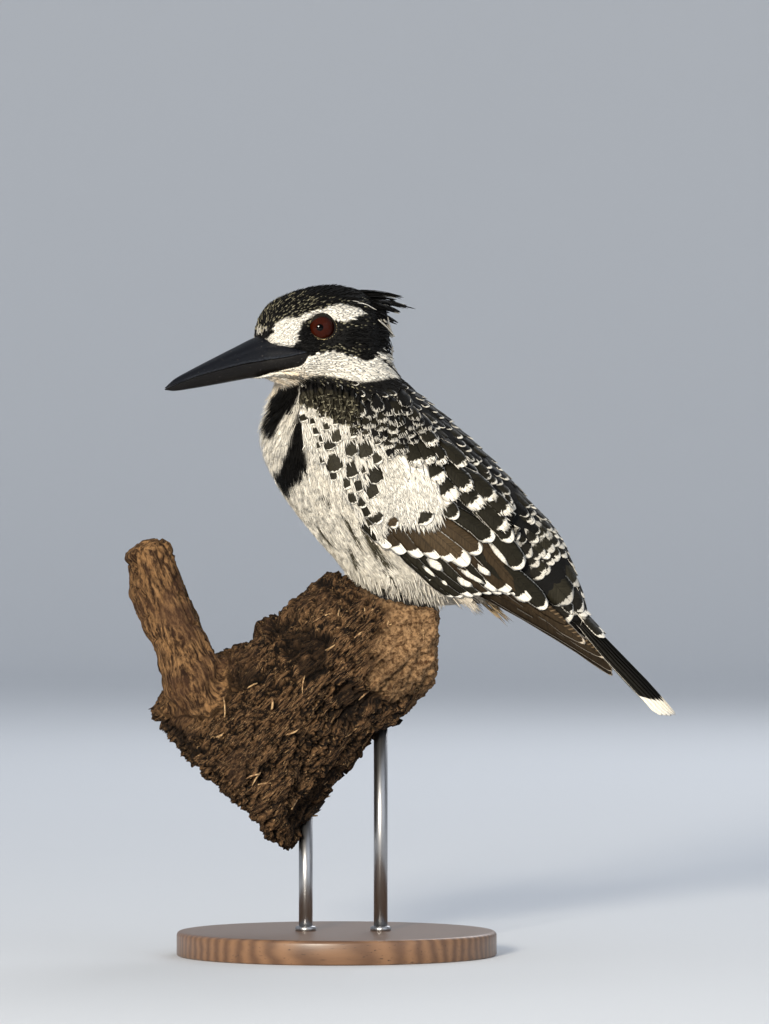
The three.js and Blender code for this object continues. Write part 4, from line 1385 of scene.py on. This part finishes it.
def softUnder():
    plan, bed = softCoat["under"], {"count": 0}
    points = scatter(plan["candidates"])
    points = points[softGround(points)]
    points = points[thinOut(points, plan["spacing"])]
    n = len(points)
    lengths = plan["length"] * vary(0.8, 0.4, n) * (0.62 + 0.5 * ease(215, 175, points[:, 2]))
    spines, normals = trail(points, lengths, shares["body"], 0.5, plan["rise"] + puffed(points) * 0.5,
                            chance.normal(0, 6, n))
    tint = markings(spines[:, 5]) * vary(0.9, 0.15, n, 1)
    addVanes(bed, spines, normals, plan["half"], styled(n, tint, tint), "body", "plain", 0.2, 0.14)
    return bed


streakPlan = [  # dusky streaks on the flank and belly: from, to and half width, in the model's x and z
    ((-5.5, 171), (-1.0, 167), 0.5), ((-7.5, 160.5), (-2.2, 153.5), 0.45), ((3.6, 162.5), (9.2, 152.6), 0.8),
    ((10.5, 158.4), (15.6, 150.4), 1.5), ((5.4, 150.8), (7.8, 145.8), 1.1),
              ((14.6, 149.2), (20.6, 145.4), 1.2),
    ((17.4, 144.6), (24.2, 136.0), 0.9),
]


def streaked(points, tint):
    x, y, z = points.T
    for start, end, half in streakPlan:
        away, share = nearLine(np.stack([x, z], 1), start, end)
        mask = ease(1.25, 0.7, away / (half * (0.6 + 0.6 * share))) * (np.abs(y) > 6)
        tint = towards(tint, olive * 1.7, mask)
    return tint


def softBarbs():
    plan, beds = softCoat["barbs"], [{"count": 0}, {"count": 0}]
    points = scatter(plan["candidates"] * 2)
    points = points[softGround(points)][: plan["candidates"]]
    points = points[thinOut(points, plan["spacing"])]
    n, each = len(points), plan["each"]
    lengths = plan["length"] * vary(0.75, 0.5, n) * (0.6 + 0.55 * ease(215, 172, points[:, 2]))
    rise = plan["rise"] * vary(0.5, 1, n) * ease(52, 34, into(trunkLie, points)[:, 0])
    rise = rise + puffed(points) * chance.uniform(0.7, 1.05, n)
    spines, normals = trail(points, lengths, barbShares, 0.4, rise, chance.normal(0, 7, n))
    sideways = np.cross(unit(np.gradient(spines, axis=1)), normals)
    spines, normals, sideways = (np.repeat(value, each, axis=0) for value in (spines, normals, sideways))
    fan = np.tile(np.linspace(-1, 1, each), n)[:, None, None] + chance.normal(0, 0.25, (n * each, 1, 1))
    opening = np.array([0.1, 0.55, 0.8, 0.75])[:, None]
    spines = spines + sideways * fan * opening + normals * chance.normal(0, 0.07, (n * each, 1, 1))
    middle = spines[:, 2]
    tint = streaked(middle, markings(middle)) * vary(0.9, 0.16, n * each, 1)
    half = plan["half"] * vary(0.7, 0.6, n * each)
    for start, bed in enumerate(beds):
        chosen = slice(start, None, 2)
        addStrands(bed, spines[chosen], normals[chosen], half[chosen], tint[chosen], (0.9, 0.98, 1.02, 1.05),
                   0.3)
    bellyFringe(beds[0])
    return beds


def bellyFringe(bed):
    # loose barbs that hang from the lower flanks over the feet
    points = scatter(26000)
    along = into(trunkLie, points)[:, 0]
    points = points[(along > -14) & (along < 38) & (points[:, 2] < 146) & softGround(points)]
    under, normal = settle(points)
    low = (normal[:, 2] < -0.55) & (normal[:, 2] > -0.92) & (normal[:, 0] > -0.8)
    under, normal = under[low], normal[low]
    kept = thinOut(under, 1.0)
    under, normal = np.repeat(under[kept], 3, axis=0), np.repeat(normal[kept], 3, axis=0)
    n = len(under)
    under = under + chance.normal(0, 0.35, (n, 3))
    way = turnOut(trunkLie, np.array([0.75, 0, -0.2])) + np.array([0, 0, -0.5]) + normal * 0.12
    way = unit(way + chance.normal(0, 0.07, (n, 3)))
    spines = (under - normal * 0.3)[:, None] + way[:, None] * (barbShares[:, None] * vary(3.6, 2.6, n, 1, 1))
    tint = markings(under) * chance.uniform(0.9, 1.05, (n, 1))
    addStrands(bed, spines, np.broadcast_to(normal[:, None], spines.shape), 0.19, tint,
               (0.8, 0.95, 1.03, 1.06))


backCoat = {"candidates": 9000, "rise": 0.75}


def backFeathers():
    bed = {"count": 0}
    points = scatter(backCoat["candidates"] * 2)
    trunk = into(trunkLie, points)
    x, _, z = trunk.T
    top = (z > 12 - 4.5 * ease(46, 54, x)) & (onWing(trunk) < 6) & (x < 79)
    front = (x < -30) & (z > 9) & (points[:, 0] > -12)
    points = points[(top | front) & (underCollar(points) > 0.5)]
    x = into(trunkLie, points)[:, 0]
    grown, big = ease(-52, 8, x), ease(48, 54, x)
    kept = thinOut(points, 1.55 + 2.2 * grown - 0.9 * ease(30, 44, x) + 4.6 * big)
    points, x, grown, big, n = points[kept], x[kept], grown[kept], big[kept], len(kept)
    lengths = (6.5 + 8.5 * grown + 3 * big) * vary(0.9, 0.25, n)
    half = (1.15 + 2.1 * grown + 2.1 * big) * vary(0.85, 0.3, n)
    spines, normals = trail(points, lengths, shares["body"], 1.0, backCoat["rise"], chance.normal(0, 6, n))
    straight = np.linalg.norm(spines[:, -1] - spines[:, 0], axis=1) > 0.93 * lengths
    steady = straight & (dot(normals[:, 0], normals[:, -1])[:, 0] > 0.6)
    spines, normals, x, grown, half, big = (value[steady] for value in (spines, normals, x, grown, half, big))
    n = len(spines)
    rump = ease(26, 40, x + chance.normal(0, 3, n))
    tint = np.where(chance.random((n, 1)) < 0.5, soot, olive * 0.3) + olive * 0.22 * rump[:, None]
    streaky = chance.random(n) < 0.42
    fringe = np.where(chance.random(n) < 0.6, vary(0.3, 0.7, n), 0.0) * (0.6 + 0.8 * grown)
    looks = styled(n, tint, cream * vary(0.55, 0.4, n, 1), np.where(rump[:, None] > 0.5, cream * 0.5, soot),
                   tip=fringe * (1 - rump) + rump * (vary(1.2, 0.9, n) + 0.7 * big),
                   dark=np.where(rump > 0.5, vary(2.6, 1.8, n) + 4.5 * big, 40),
                   side=np.where(streaky, 0.45, 0.0) * (1 - rump) + rump * 0.3, bow=1.0, rough=2.2)
    addVanes(bed, spines, normals, half, looks, "body", "plain", 0.24, 0.16)
    return bed


# runs of feathers from the innermost out; tips are (x, z) on the trunk's side, lengths in millimetres
wingRuns = [
    {"name": "primaries", "tips": [(105.6, 7.0), (104.4, 8.2), (99.2, 10.0), (90.0, 9.0), (80, 9.8),
                                   (70, 8.8)],
     "turns": (0, 2, 7, 4, 6, 5), "length": 62, "half": (2.5, 2.8, 2.9, 3.4, 3.2, 3.2), "lift": (-3.0, -1.7),
     "step": 0.2, "outline": "pinion", "bend": (11, 9, 2, 2, 0, 0),
     "looks": {"tint": [umber * 0.09, umber * 0.15, umber * 0.2, umber * 0.24, umber * 0.26, umber * 0.26],
               "edge": cream * (0.62, 0.56, 0.5), "tip": (0.3, 0.3, 1.5, 1.3, 0, 0.5),
               "side": (0.16, 0.2, 0.22, 0.25, 0, 0.2),
               "bow": 1.6, "rough": 0.3, "dark": 80, "web": (0, 0, 1, 1, 1, 0)}},
    {"name": "secondaries", "tips": [(41.6, -10.6), (44.0, -8.6), (46.8, -5.6), (48.6, -3.2), (51.2, -0.4),
                                     (54.0, 2.2), (56.6, 4.4), (59.6, 6.4), (63.6, 7.4)],
     "turns": (4, 6, 6, 5, 3, 1, -1, -2, -3), "length": 36, "half": 3.1, "lift": (-1.2, -0.55), "step": 0.07,
     "outline": "flight", "bend": -5, "roll": 0.16,
     "looks": {"tint": [olive * 0.3, olive * 0.36, olive * 0.28, olive * 0.4, umber * 0.2, olive * 0.3,
                        umber * 0.22,
                        olive * 0.3, umber * 0.3], "tip": (1.2, 1.4, 3.0, 1.6, 1.6, 1.8, 1.4, 2.0, 1.8),
               "side": 0.16, "bow": 1.8, "rough": 0.9}},
    {"name": "lenses", "tips": [(31.4, -10.0), (36.8, -9.3), (31.9, -6.4), (44.0, -3.4), (47.0, 0.4),
                                (52.4, 1.6), (46.2, 4.2)],
     "turns": (2, 4, 2, 10, 10, 0, 0), "length": (6.4, 2.8, 7.4, 6.4, 12, 8, 6.4),
     "half": (0.75, 0.6, 2.0, 1.9, 1.2, 2.4, 1.9),
     "lift": (-0.6, -0.1), "step": 0.03, "outline": "lancet", "bend": 0,
     "roll": 0.16, "looks": {"tint": cream * 0.88, "tip": 0.0}},
    {"name": "tertials", "tips": [(55.6, 5.2), (63.4, 7.5), (70.0, 8.9), (53.2, 14.0), (43.8, 19.0)],
     "turns": (-1, -6, -8, -15, -10), "length": 26, "half": (4.2, 4.2, 3.4, 4.2, 3.6), "lift": (-1.0, 0.15),
     "step": 0.1, "outline": "flight", "bend": 6, "roll": 0.1,
     "looks": {"tint": [umber * 0.24, olive * 0.36, olive * 0.34, olive * 0.4, olive * 0.36],
               "tip": (3.6, 3.4, 1.7, 2.0, 1.8), "side": (0.22, 0.3, 0.22, 0.3, 0.22), "bow": 1.8,
               "rough": 1.7}},
    {"name": "stripes", "tips": [(48.9, 11.2)], "turns": (-10,), "length": 12, "half": 1.15,
     "lift": (-0.3, 0.45),
     "step": 0, "outline": "lancet", "bend": 0, "looks": {"tint": cream * 0.86, "tip": 0.0}},
    {"name": "greater", "tips": [(11.6, -12.6), (17.0, -10.8), (22.6, -7.4), (27.6, -3.6), (32.2, -0.4),
                                 (37.4, 1.6), (37.8, 8.0), (38.2, 14.8)],
     "turns": (-4, -9, -8, -8, -5, -5, 0, 3), "length": (15, 18, 20, 21, 21, 22, 22, 22),
     "half": (3.4, 3.6, 3.5, 3.6, 3.6, 3.6, 3.5, 3.6),
     "lift": (-0.9, 0.2), "step": 0.06, "outline": "flight", "bend": 5, "roll": 0.14,
     "looks": {"tint": [olive * 0.3, umber * 0.22, umber * 0.24, umber * 0.3, umber * 0.42, umber * 0.5,
                        umber * 0.34, olive * 0.34],
               "tip": (3.8, 4.2, 3.8, 3.4, 3.4, 3.8, 1.9, 1.9), "side": 0.24, "bow": 2.6, "rough": 1.9}},
    {"name": "crescents", "tips": [(3.0, -8.5), (8.4, -5.8), (16.4, 3.2), (22.8, 11.4)],
     "turns": (-10, -12, -14, -10), "length": 13, "half": (3.3, 2.8, 4.4, 3.2), "lift": (-0.8, 1.2),
     "step": 0.03,
     "outline": "scale", "bend": 0,
     "looks": {"tint": [olive * 0.4, umber * 0.34, olive * 0.42, olive * 0.4],
               "tip": (0.9, 0.9, 1.3, 1.4), "dark": (3.4, 3.2, 4.3, 4.6), "side": 0.3,
               "bow": 0.9, "rough": 2.0}},
    {"name": "scapulars", "tips": [(39.2, 20.6), (36.0, 25.0), (27.2, 20.4), (28.4, 26.2), (18.4, 15.6),
                                   (20.0, 22.4),
                                   (12.4, 27.6), (9.4, 17.4), (6.4, 23.4), (-0.4, 15.6), (2.4, 20.4),
                                   (-1.4, 25.8)],
     "turns": (-2, -6, -8, -8, -14, -12, -10, -20, -18, -30, -26, -20),
     "length": (21, 19, 17, 17, 15, 15, 14, 13, 13, 12, 12, 12),
     "half": (4.2, 4.0, 4.2, 4.0, 3.9, 3.9, 3.6, 3.5, 3.5, 3.3, 3.4, 3.3),
     "lift": (-0.9, 0.75), "step": 0.03, "outline": "scale", "bend": 4, "frayed": 16,
     "looks": {"tint": olive * 0.34, "tip": (3.0, 2.4, 3.5, 2.2, 3.3, 2.4, 1.6, 3.0, 2.1, 2.8, 2.3, 1.7),
               "side": 0.16, "bow": 0.8, "rough": 3.6}},
]
# round dark spots of the middle coverts: middle (x, z) and radius
wingSpots = [(-25.0, -3.7, 3.3), (-18.3, -1.5, 2.8), (-30.8, 4.4, 2.4), (-30.7, 0.3, 2.1), (-23.8, 4.5, 2.8),
             (-19.6, 7.8, 3.1), (-11.1, 3.2, 3.1), (-7.9, -1.8, 2.9), (-16.4, -6.2, 2.0), (-12.4, -3.6, 2.0),
             (-11.3, -8.7, 2.0), (-7.6, -7.8, 1.9), (-4.2, -8.8, 2.0), (-38.2, 0.7, 1.4), (-34.5, 0, 1.4),
             (-41.2, 2.6, 1.4), (-44.6, 1.6, 1.5), (-36, 4.6, 1.4), (-27.2, 9.4, 1.8), (-33.6, -2.8, 1.2),
             (-29, -5.8, 1.3), (-21.5, -7.6, 1.4), (-14.2, 8.2, 2.2), (-0.8, -10.8, 1.8), (-15.0, 1.7, 1.3),
             (-35, 8.4, 1.5), (-40, 6.5, 1.4), (-24.4, 13.2, 2.0), (-18.6, 13.4, 2.0), (-11.6, 12.4, 1.9)]
# outlines on the wing's side: the white patch, the small dark coverts and the flecked ones before them
whitePatch = [(-6.5, 4.5), (-4.5, 10), (-1, 15), (5, 15.5), (12, 13.5), (16, 8), (11, 1), (4, -4), (-3, -4)]
mantlePatch = [(-37, 16), (-30, 12), (-25, 9.6), (-10, 10.5), (-5, 20), (-6, 30), (-24, 31), (-44, 27),
               (-44, 20)]
flecksPatch = [(-50, 3.6), (-45, 4.6), (-38, 7), (-31, 9), (-26, 10), (-26, 13), (-31, 17), (-37, 20),
               (-45, 21), (-50, 15)]


def wingScatter(edges, pitch, ready=None):
    # uneven rows of places inside an outline on the wing, where ready(x, z) allows
    xs, zs = np.array(edges, float).T
    places = [(x, z) for number, x in enumerate(np.arange(xs.min(), xs.max(), pitch * 0.8))
              for z in np.arange(zs.min() + (number % 2) * pitch * 0.5, zs.max(), pitch)]
    places = np.array(places) + chance.normal(0, pitch * 0.16, (len(places), 2))
    inside = insideBy(edges, *places.T) > 0
    return places[inside & ready(*places.T) if ready else inside]


def tufts(edges, pitch):
    # places of barbs in threes inside an outline on the wing
    places = np.repeat(wingScatter(edges, pitch), 3, axis=0)
    return places + chance.normal(0, 0.5, places.shape)


def turnsAt(places, first, more, low, high, swing):
    # how far feathers turn from the trunk's line, eased along it and a little uneven
    return first + more * ease(low, high, places[:, 0]) + chance.normal(0, swing, len(places))


def wayOf(turns):
    return np.stack([np.cos(np.radians(turns)), np.sin(np.radians(turns))], 1)


def spotsAway(x, z, share):
    # whether places are outside every dark spot, the spots taken smaller or larger by a share
    spotX, spotZ, radius = np.array(wingSpots).T
    return (np.hypot(x[:, None] - spotX, z[:, None] - spotZ) > radius * share).all(1)


def wingBarbs(bed, side, places, turns, length, lift, tint, half=0.2):
    # fine separate barbs laid along the wing
    n, way = len(places), wayOf(turns)
    along = barbShares * (length * vary(0.75, 0.5, n))[:, None]
    height = (lift[0] + (lift[1] - lift[0]) * barbShares) + 0.1 * chance.random((n, 1)) * barbShares
    x, z = places[:, :1] + along * way[:, :1], places[:, 1:] + along * way[:, 1:]
    spines, normals = wingPlace(side, x, z, height)
    addStrands(bed, spines, normals, half, tint * vary(0.9, 0.14, n, 1), (0.94, 0.98, 1, 1.02), 0.22)


def frayedEnds(bed, side, tips, turns, half, lift, count, light=0.95):
    # short barbs that fray the white ends of feathers on the wing
    half, lift = (np.broadcast_to(value, len(tips))[:, None, None] for value in (half, lift))
    way = wayOf(turns)[:, None]
    across = way[..., ::-1] * np.array([-1, 1])
    u = chance.uniform(-0.92, 0.92, (len(tips), count, 1))
    drawn = (1 - np.sqrt(1 - u * u)) * half * 0.9 + 0.9 + 0.8 * chance.random(u.shape)
    places = (np.asarray(tips)[:, None] - way * drawn + across * u * half * 0.85).reshape(-1, 2)
    height, n = (lift + 0.12 - 0.18 * half * u * u).reshape(-1, 1), len(places)
    tint = np.where(chance.random((n, 1)) < 0.7, cream * light * chance.uniform(0.7, 1, (n, 1)), soot)
    turns = np.repeat(turns, count) + chance.normal(0, 7, n)
    wingBarbs(bed, side, places, turns, 1.9, (height, height + 0.1), tint, 0.17)


def spottedCoverts(bed, side):
    # pale down and barbs on the fore part of the wing, and the round dark spots over them
    low = [(x, wingEdges(float(x))[0].item() + 0.6) for x in range(-47, 6, 4)]
    ground = low + [(2, 2), (-8, 13), (-24, 15), (-36, 10), (-47, 8)]
    places = wingScatter(ground, 2.4, lambda x, z: spotsAway(x, z, 0.9))
    n = len(places)
    turns = turnsAt(places, -34, 14, -40, 0, 6)
    shade = cream * vary(0.8, 0.16, n, 1)
    small = 0.45 + 0.55 * ease(-45, -28, places[:, 0])
    layWing(bed, side, places, turns, 9.0 * small, 1.9 * small, (-0.7, vary(0.1, 0.05, n)),
            styled(n, shade, shade, shade), "lancet", "slim", camber=0.03, thick=0.05, shaft=0.0)
    places = tufts(ground, 1.1)
    turns = turnsAt(places, -36, 14, -40, 0, 9)
    way = wayOf(turns)
    free = places[:, 1] > wingEdges(places[:, 0])[0] + 0.4
    for reach, share in ((0, 1.0), (2.2, 0.85), (4.2, 0.58)):
        free &= spotsAway(*(places + way * reach).T, share)
    wingBarbs(bed, side, places[free], turns[free], 4.4, (0.0, 0.62), cream * 0.95, 0.27)
    spots = np.array(wingSpots)
    spots[:, :2] += chance.normal(0, 0.2, (len(spots), 2))
    turns = turnsAt(spots, -36, 18, -35, -5, 6)
    n, radius = len(spots), spots[:, 2]
    tips = spots[:, :2] + wayOf(turns) * (radius * 0.9 + 0.5)[:, None]
    tint = np.where(spots[:, 1:2] > 3, olive * 0.6, olive * 0.42) * vary(0.7, 0.6, n, 1)
    looks = styled(n, tint, cream * 0.88, cream * 0.88, tip=vary(0.25, 0.45, n), dark=radius * 2.0,
                   side=vary(0.15, 0.2, n), bow=radius * 0.3, rough=1.8)
    order = np.argsort(-spots[:, 0]).argsort() * 0.004
    layWing(bed, side, tips, turns, radius * 2 + 3, radius * 1.12 + 0.25, (-0.35 + order, 0.5 + order), looks,
            "scale", "fine", camber=0.14, thick=0.1, shaft=0.05)


def patchFeathers(bed, side):
    # the white patch behind the spots
    places = wingScatter(whitePatch, 2.3)
    n = len(places)
    turns = -26 + chance.normal(0, 5, n)
    shade = cream * vary(0.97, 0.06, n, 1)
    layWing(bed, side, places + np.array([3.0, -1.5]), turns, 12.0, 2.5, (-0.5, vary(0.45, 0.03, n)),
            styled(n, shade, shade, shade), "lancet", "plain", camber=0.02, thick=0.05, shaft=0.0)
    places = tufts(whitePatch, 1.1)
    wingBarbs(bed, side, places, -28 + chance.normal(0, 4, len(places)), 6.5, (0.25, 0.5), cream * 1.02, 0.3)


def upperCoverts(bed, side):
    # small dark coverts above the spots: those with white ends, then the flecked ones under the collar
    def clearPlace(x, z, back=3.0):
        return (z < wingEdges(x)[1] - 1) & (underCollar(wingPlace(side, x - back, z + back, 0 * x)[0]) > 2.5)
    places = wingScatter(mantlePatch, 3.9, lambda x, z: clearPlace(x, z, 6.4))
    n = len(places)
    turns = turnsAt(places, -42, 16, -40, -8, 5)
    tint = np.where(chance.random((n, 1)) < 0.5, soot * 1.1, olive * 0.3)
    edge = cream * vary(0.35, 0.5, n, 1)
    tip = np.where(chance.random(n) < 0.6, vary(0.3, 0.8, n), 0.1)
    looks = styled(n, tint, edge, soot, tip=tip, side=0.16, bow=0.7, rough=3.6, dark=6.0)
    layWing(bed, side, places, turns, 7.6, vary(2.7, 0.4, n), (-0.7, vary(0.7, 0.08, n)), looks, "scale",
            "plain", camber=0.14, thick=0.1, shaft=0.05)
    frayedEnds(bed, side, places, turns, 2.7, 0.72, 9, 0.8)
    places = wingScatter(flecksPatch, 1.45, clearPlace)
    n = len(places)
    turns = turnsAt(places, -42, 16, -45, -15, 14)
    tint = olive * (0.25 + 0.75 * chance.random((n, 1)) ** 1.5)
    edge = fleckPale * (0.3 + 1.1 * chance.random((n, 1)) ** 1.5)
    tip = np.where(chance.random(n) < 0.5, vary(0.1, 0.45, n), 0)
    looks = styled(n, tint, edge, soot, tip=tip, bow=0.3, rough=1.6, dark=vary(1.8, 1, n))
    layWing(bed, side, places, turns, vary(4.4, 1.5, n), vary(0.85, 0.35, n), (-0.4, vary(0.7, 0.35, n)),
            looks, "scale", "slim", camber=0.24, thick=0.12, shaft=0.05)
    places = wingScatter(flecksPatch, 2.3, clearPlace)
    n = len(places)
    tint = fleckPale * vary(0.2, 1.1, n, 1)
    wingBarbs(bed, side, places, -46 + chance.normal(0, 14, n), 2.2, (0.8, 1.1), tint, 0.11)


def wing(side):
    beds = {"primaries": {"count": 0}, "inner": {"count": 0}}
    for run in wingRuns:
        n, how = len(run["tips"]), dict(run["looks"])
        tint, tip, edge, web = (how.pop(key, start) for key, start in (
            ("tint", None), ("tip", None), ("edge", cream * 0.95), ("web", 0.0)))
        looks = styled(n, tint, edge, tip=np.array(tip) * chance.uniform(0.8, 1.15, n),
                       web=side * np.array(web), **how)
        low, high = (lift + np.arange(n) * run["step"] for lift in run["lift"])
        tips = np.array(run["tips"]) + chance.normal(0, 0.35, (n, 2)) * (run["name"] == "scapulars")
        layWing(beds.get(run["name"], beds["inner"]), side, tips, run["turns"], run["length"], run["half"],
                (low, high), looks, run["outline"], "fine", bend=run["bend"], camber=0.16, thick=0.2,
                shaft=0.14, roll=-side * run.get("roll", 0.0))
        if run.get("frayed"):
            frayedEnds(beds["inner"], side, tips, np.array(run["turns"], float), run["half"], high,
                       run["frayed"])
    for lay in (spottedCoverts, patchFeathers, upperCoverts):
        lay(beds["inner"], side)
    return beds["primaries"], beds["inner"]


# the tail along the trunk: x, half its breadth and its upper face
tailRows = [(66, 7, 17.5), (82, 9.5, 17.2), (100, 11.2, 16), (118, 12, 14.8), (131, 12.4, 13.2),
            (134.5, 12.4, 12.8)]
tailPlan = {"count": 12, "length": 74, "half": 3.9, "arch": 6.2, "end": 133.2}


def tailFeather(bed, x, y, z, tilt, half, looks, outline, *make):
    # one feather along places in the trunk's frame, its face tilted sideways
    normal = unit(stacked(0 * x, tilt, 1.0))
    addVanes(bed, outOf(trunkLie, np.stack([x, y, z], -1))[None], turnOut(trunkLie, normal)[None], half,
             looks, outline, "fine", *make)


def tail():
    bed, share = {"count": 0}, shares["flight"]
    arch, half, count = (tailPlan[key] for key in ("arch", "half", "count"))
    middle = (count - 1) / 2
    for layer, k in enumerate(sorted(range(count), key=lambda k: -abs(k - middle))):
        place = (k - middle) / middle
        end = tailPlan["end"] - 3.6 * abs(place) ** 2.5 - 0.6 * chance.random()
        x = end - (1 - share) * tailPlan["length"]
        halfTail, top = read(tailRows, x)
        spread = place * np.maximum(halfTail - half * 0.8, 1)
        z = top - 0.5 - arch * (spread / 12.4) ** 2 - 1.1 + layer * 0.09 - ease(80, 60, x) * 3.0
        tint = soot * 0.9 + olive * 0.12 * chance.random()
        looks = styled(1, tint, cream, tip=6.4 + 2.4 * abs(place) ** 2, bow=2.6,
                       side=0.16 if abs(place) > 0.9 else 0.0, every=17.0,
                       size=1.8 if abs(place) > 0.7 else 0.01, web=math.copysign(1, place),
                       rough=0.7, dark=90)
        tailFeather(bed, x, spread, z, 2 * arch * spread / 12.4**2, half, looks, "flight", 0.07, 0.13, 0.1)
    return bed


# rows of coverts over the root of the tail: x and z of their ends, how many, length, half width, white end
covertRows = [(57, 20.0, 4, 13, 3.9, 2.0), (66.5, 18.0, 4, 15, 4.1, 2.3), (75, 17.4, 4, 16, 4.1, 2.6),
              (84, 19.2, 4, 17, 4.3, 3.0), (93, 17.6, 4, 17, 4.0, 3.0)]


def tailCoverts(bed):
    share, rows = shares["body"], []
    for x, z, count, *sort in covertRows:
        for k in range(count):
            rows.append((x + chance.normal(0, 1.0), z, (k - (count - 1) / 2) / max(count / 2, 1), *sort))
    for end, z, place, length, half, tipWhite in reversed(rows):
        x = end - (1 - share) * length
        y = place * read([(40, 15), (60, 12), (80, 9.5), (110, 9.5)], x)[0] * 0.86
        z = z - 5.5 * (y / 12) ** 2 + 0.5 * share - 0.9 - 0.11 * (x - end)
        looks = styled(1, olive * chance.uniform(0.3, 0.55), cream * 0.93, cream * 0.5,
                       tip=tipWhite * chance.uniform(0.6, 1.2), side=0.3, dark=8.5, bow=1.2, rough=2.6)
        tailFeather(bed, x, y, z, 11 * y / 144, half, looks, "body", 0.22, 0.2)
    # a short buff tuft under the root of the tail
    n = 46
    root = np.stack([chance.uniform(49, 57, n), chance.uniform(-9, 9, n), chance.uniform(-6.0, -3.0, n)], 1)
    reach = stacked(chance.uniform(5.5, 8.5, n), 0.0, chance.uniform(-0.6, 0.8, n))
    spines = root[:, None] + reach[:, None] * shares["lancet"][:, None]
    down = np.broadcast_to(turnOut(trunkLie, np.array([0, 0, -1.0])), spines.shape)
    tint = buff * vary(0.3, 0.5, n, 1)
    addVanes(bed, outOf(trunkLie, spines), down, 0.8, styled(n, tint, tint), "lancet", "slim", 0.3, 0.12, 0.1)


soft = plumageMaterial("softPlumage", 0.62)
vaned = plumageMaterial("vanedPlumage", 0.5)
barred = plumageMaterial("barredPlumage", 0.46, bars=0.6)

bed = headFeathers()
chinFeathers(bed)
crestFeathers(bed)
bedPiece(bed, "coat_head", soft, ["crest"])
bedPiece(softUnder(), "coat_breast_and_belly", soft)
for bed, name in zip(softBarbs(), ("coat_barbs_first", "coat_barbs_second")):
    bedPiece(bed, name, soft)
bedPiece(backFeathers(), "coat_back", vaned)
for side, name in ((-1, "left"), (1, "right")):
    primaries, inner = wing(side)
    bedPiece(primaries, f"coat_primaries_{name}", barred, [f"wing_{name}_primaries"])
    bedPiece(inner, f"coat_wing_{name}", vaned)
bed = tail()
tailCoverts(bed)
bedPiece(bed, "coat_tail", vaned, ["tail"])
print("plumage laid")


viewPlan = {
    "camera": (0.01794, -2.5, 0.16605),
    "seen": 0.384,  # height of the view where the bird stands
    "key": {"place": (-0.78, -2.95, 0.80), "size": 0.45, "power": 142, "colour": (1.0, 0.92, 0.78)},
    "fill": {"place": (1.9, -1.7, 0.9), "size": 2.2, "power": 12, "colour": (0.86, 0.92, 1.0)},
    "rim": {"place": (0.9, 2.2, 1.7), "size": 1.4, "power": 20, "colour": (0.95, 0.97, 1.0)},
    "world": ((0.80, 0.86, 0.95), 0.62),
    "floor": (0.66, 0.68, 0.71),
}


def lamp(name, plan):
    light = bpy.data.lights.new(name, "AREA")
    light.size = plan["size"]
    light.energy = plan["power"]
    light.color = plan["colour"]
    held = bpy.data.objects.new(name, light)
    held.location = plan["place"]
    aim = Vector((0.02, 0, 0.17)) - held.location
    held.rotation_euler = aim.to_track_quat("-Z", "Y").to_euler()
    bpy.context.scene.collection.objects.link(held)


def studio():
    view = bpy.data.cameras.new("view")
    view.sensor_fit = "VERTICAL"
    view.sensor_height = 36
    view.lens = 36 * -viewPlan["camera"][1] / viewPlan["seen"]
    held = bpy.data.objects.new("view", view)
    held.location = viewPlan["camera"]
    held.rotation_euler = (math.pi / 2, 0, 0)
    bpy.context.scene.collection.objects.link(held)
    bpy.context.scene.camera = held
    for name in ("key", "fill", "rim"):
        lamp(name, viewPlan[name])
    world = bpy.data.worlds.new("studio")
    world.use_nodes = True
    background = world.node_tree.nodes["Background"]
    background.inputs["Color"].default_value = (*viewPlan["world"][0], 1.0)
    background.inputs["Strength"].default_value = viewPlan["world"][1]
    bpy.context.scene.world = world
    bpy.context.scene.view_settings.view_transform = "Standard"


def studioFloor():
    # a wide pale dish, flat where the stand is and rising far behind every view of it
    rise = [(4200 + 1800 * math.sin(t), 1799.95 - 1800 * math.cos(t))
            for t in np.linspace(0.1, math.pi / 2, 24)]
    profile = [(0.02, -0.05), (1000, -0.05), (4200, -0.05), *rise, (6000, 3399.95)]
    body = tube(turnedRings(profile, 96), capEnd=False)
    floor = bpy.data.objects.new("floor", writeMesh("floor", *body))
    bpy.context.scene.collection.objects.link(floor)
    floor.data.materials.append(startMaterial("paleFloor", {"Roughness": 0.85}))
    pale = np.array(viewPlan["floor"])
    give("Base Color", blend(grain(onObject(), 3, 3), pale * 0.98, pale))


studio()
studioFloor()
print("studio set")
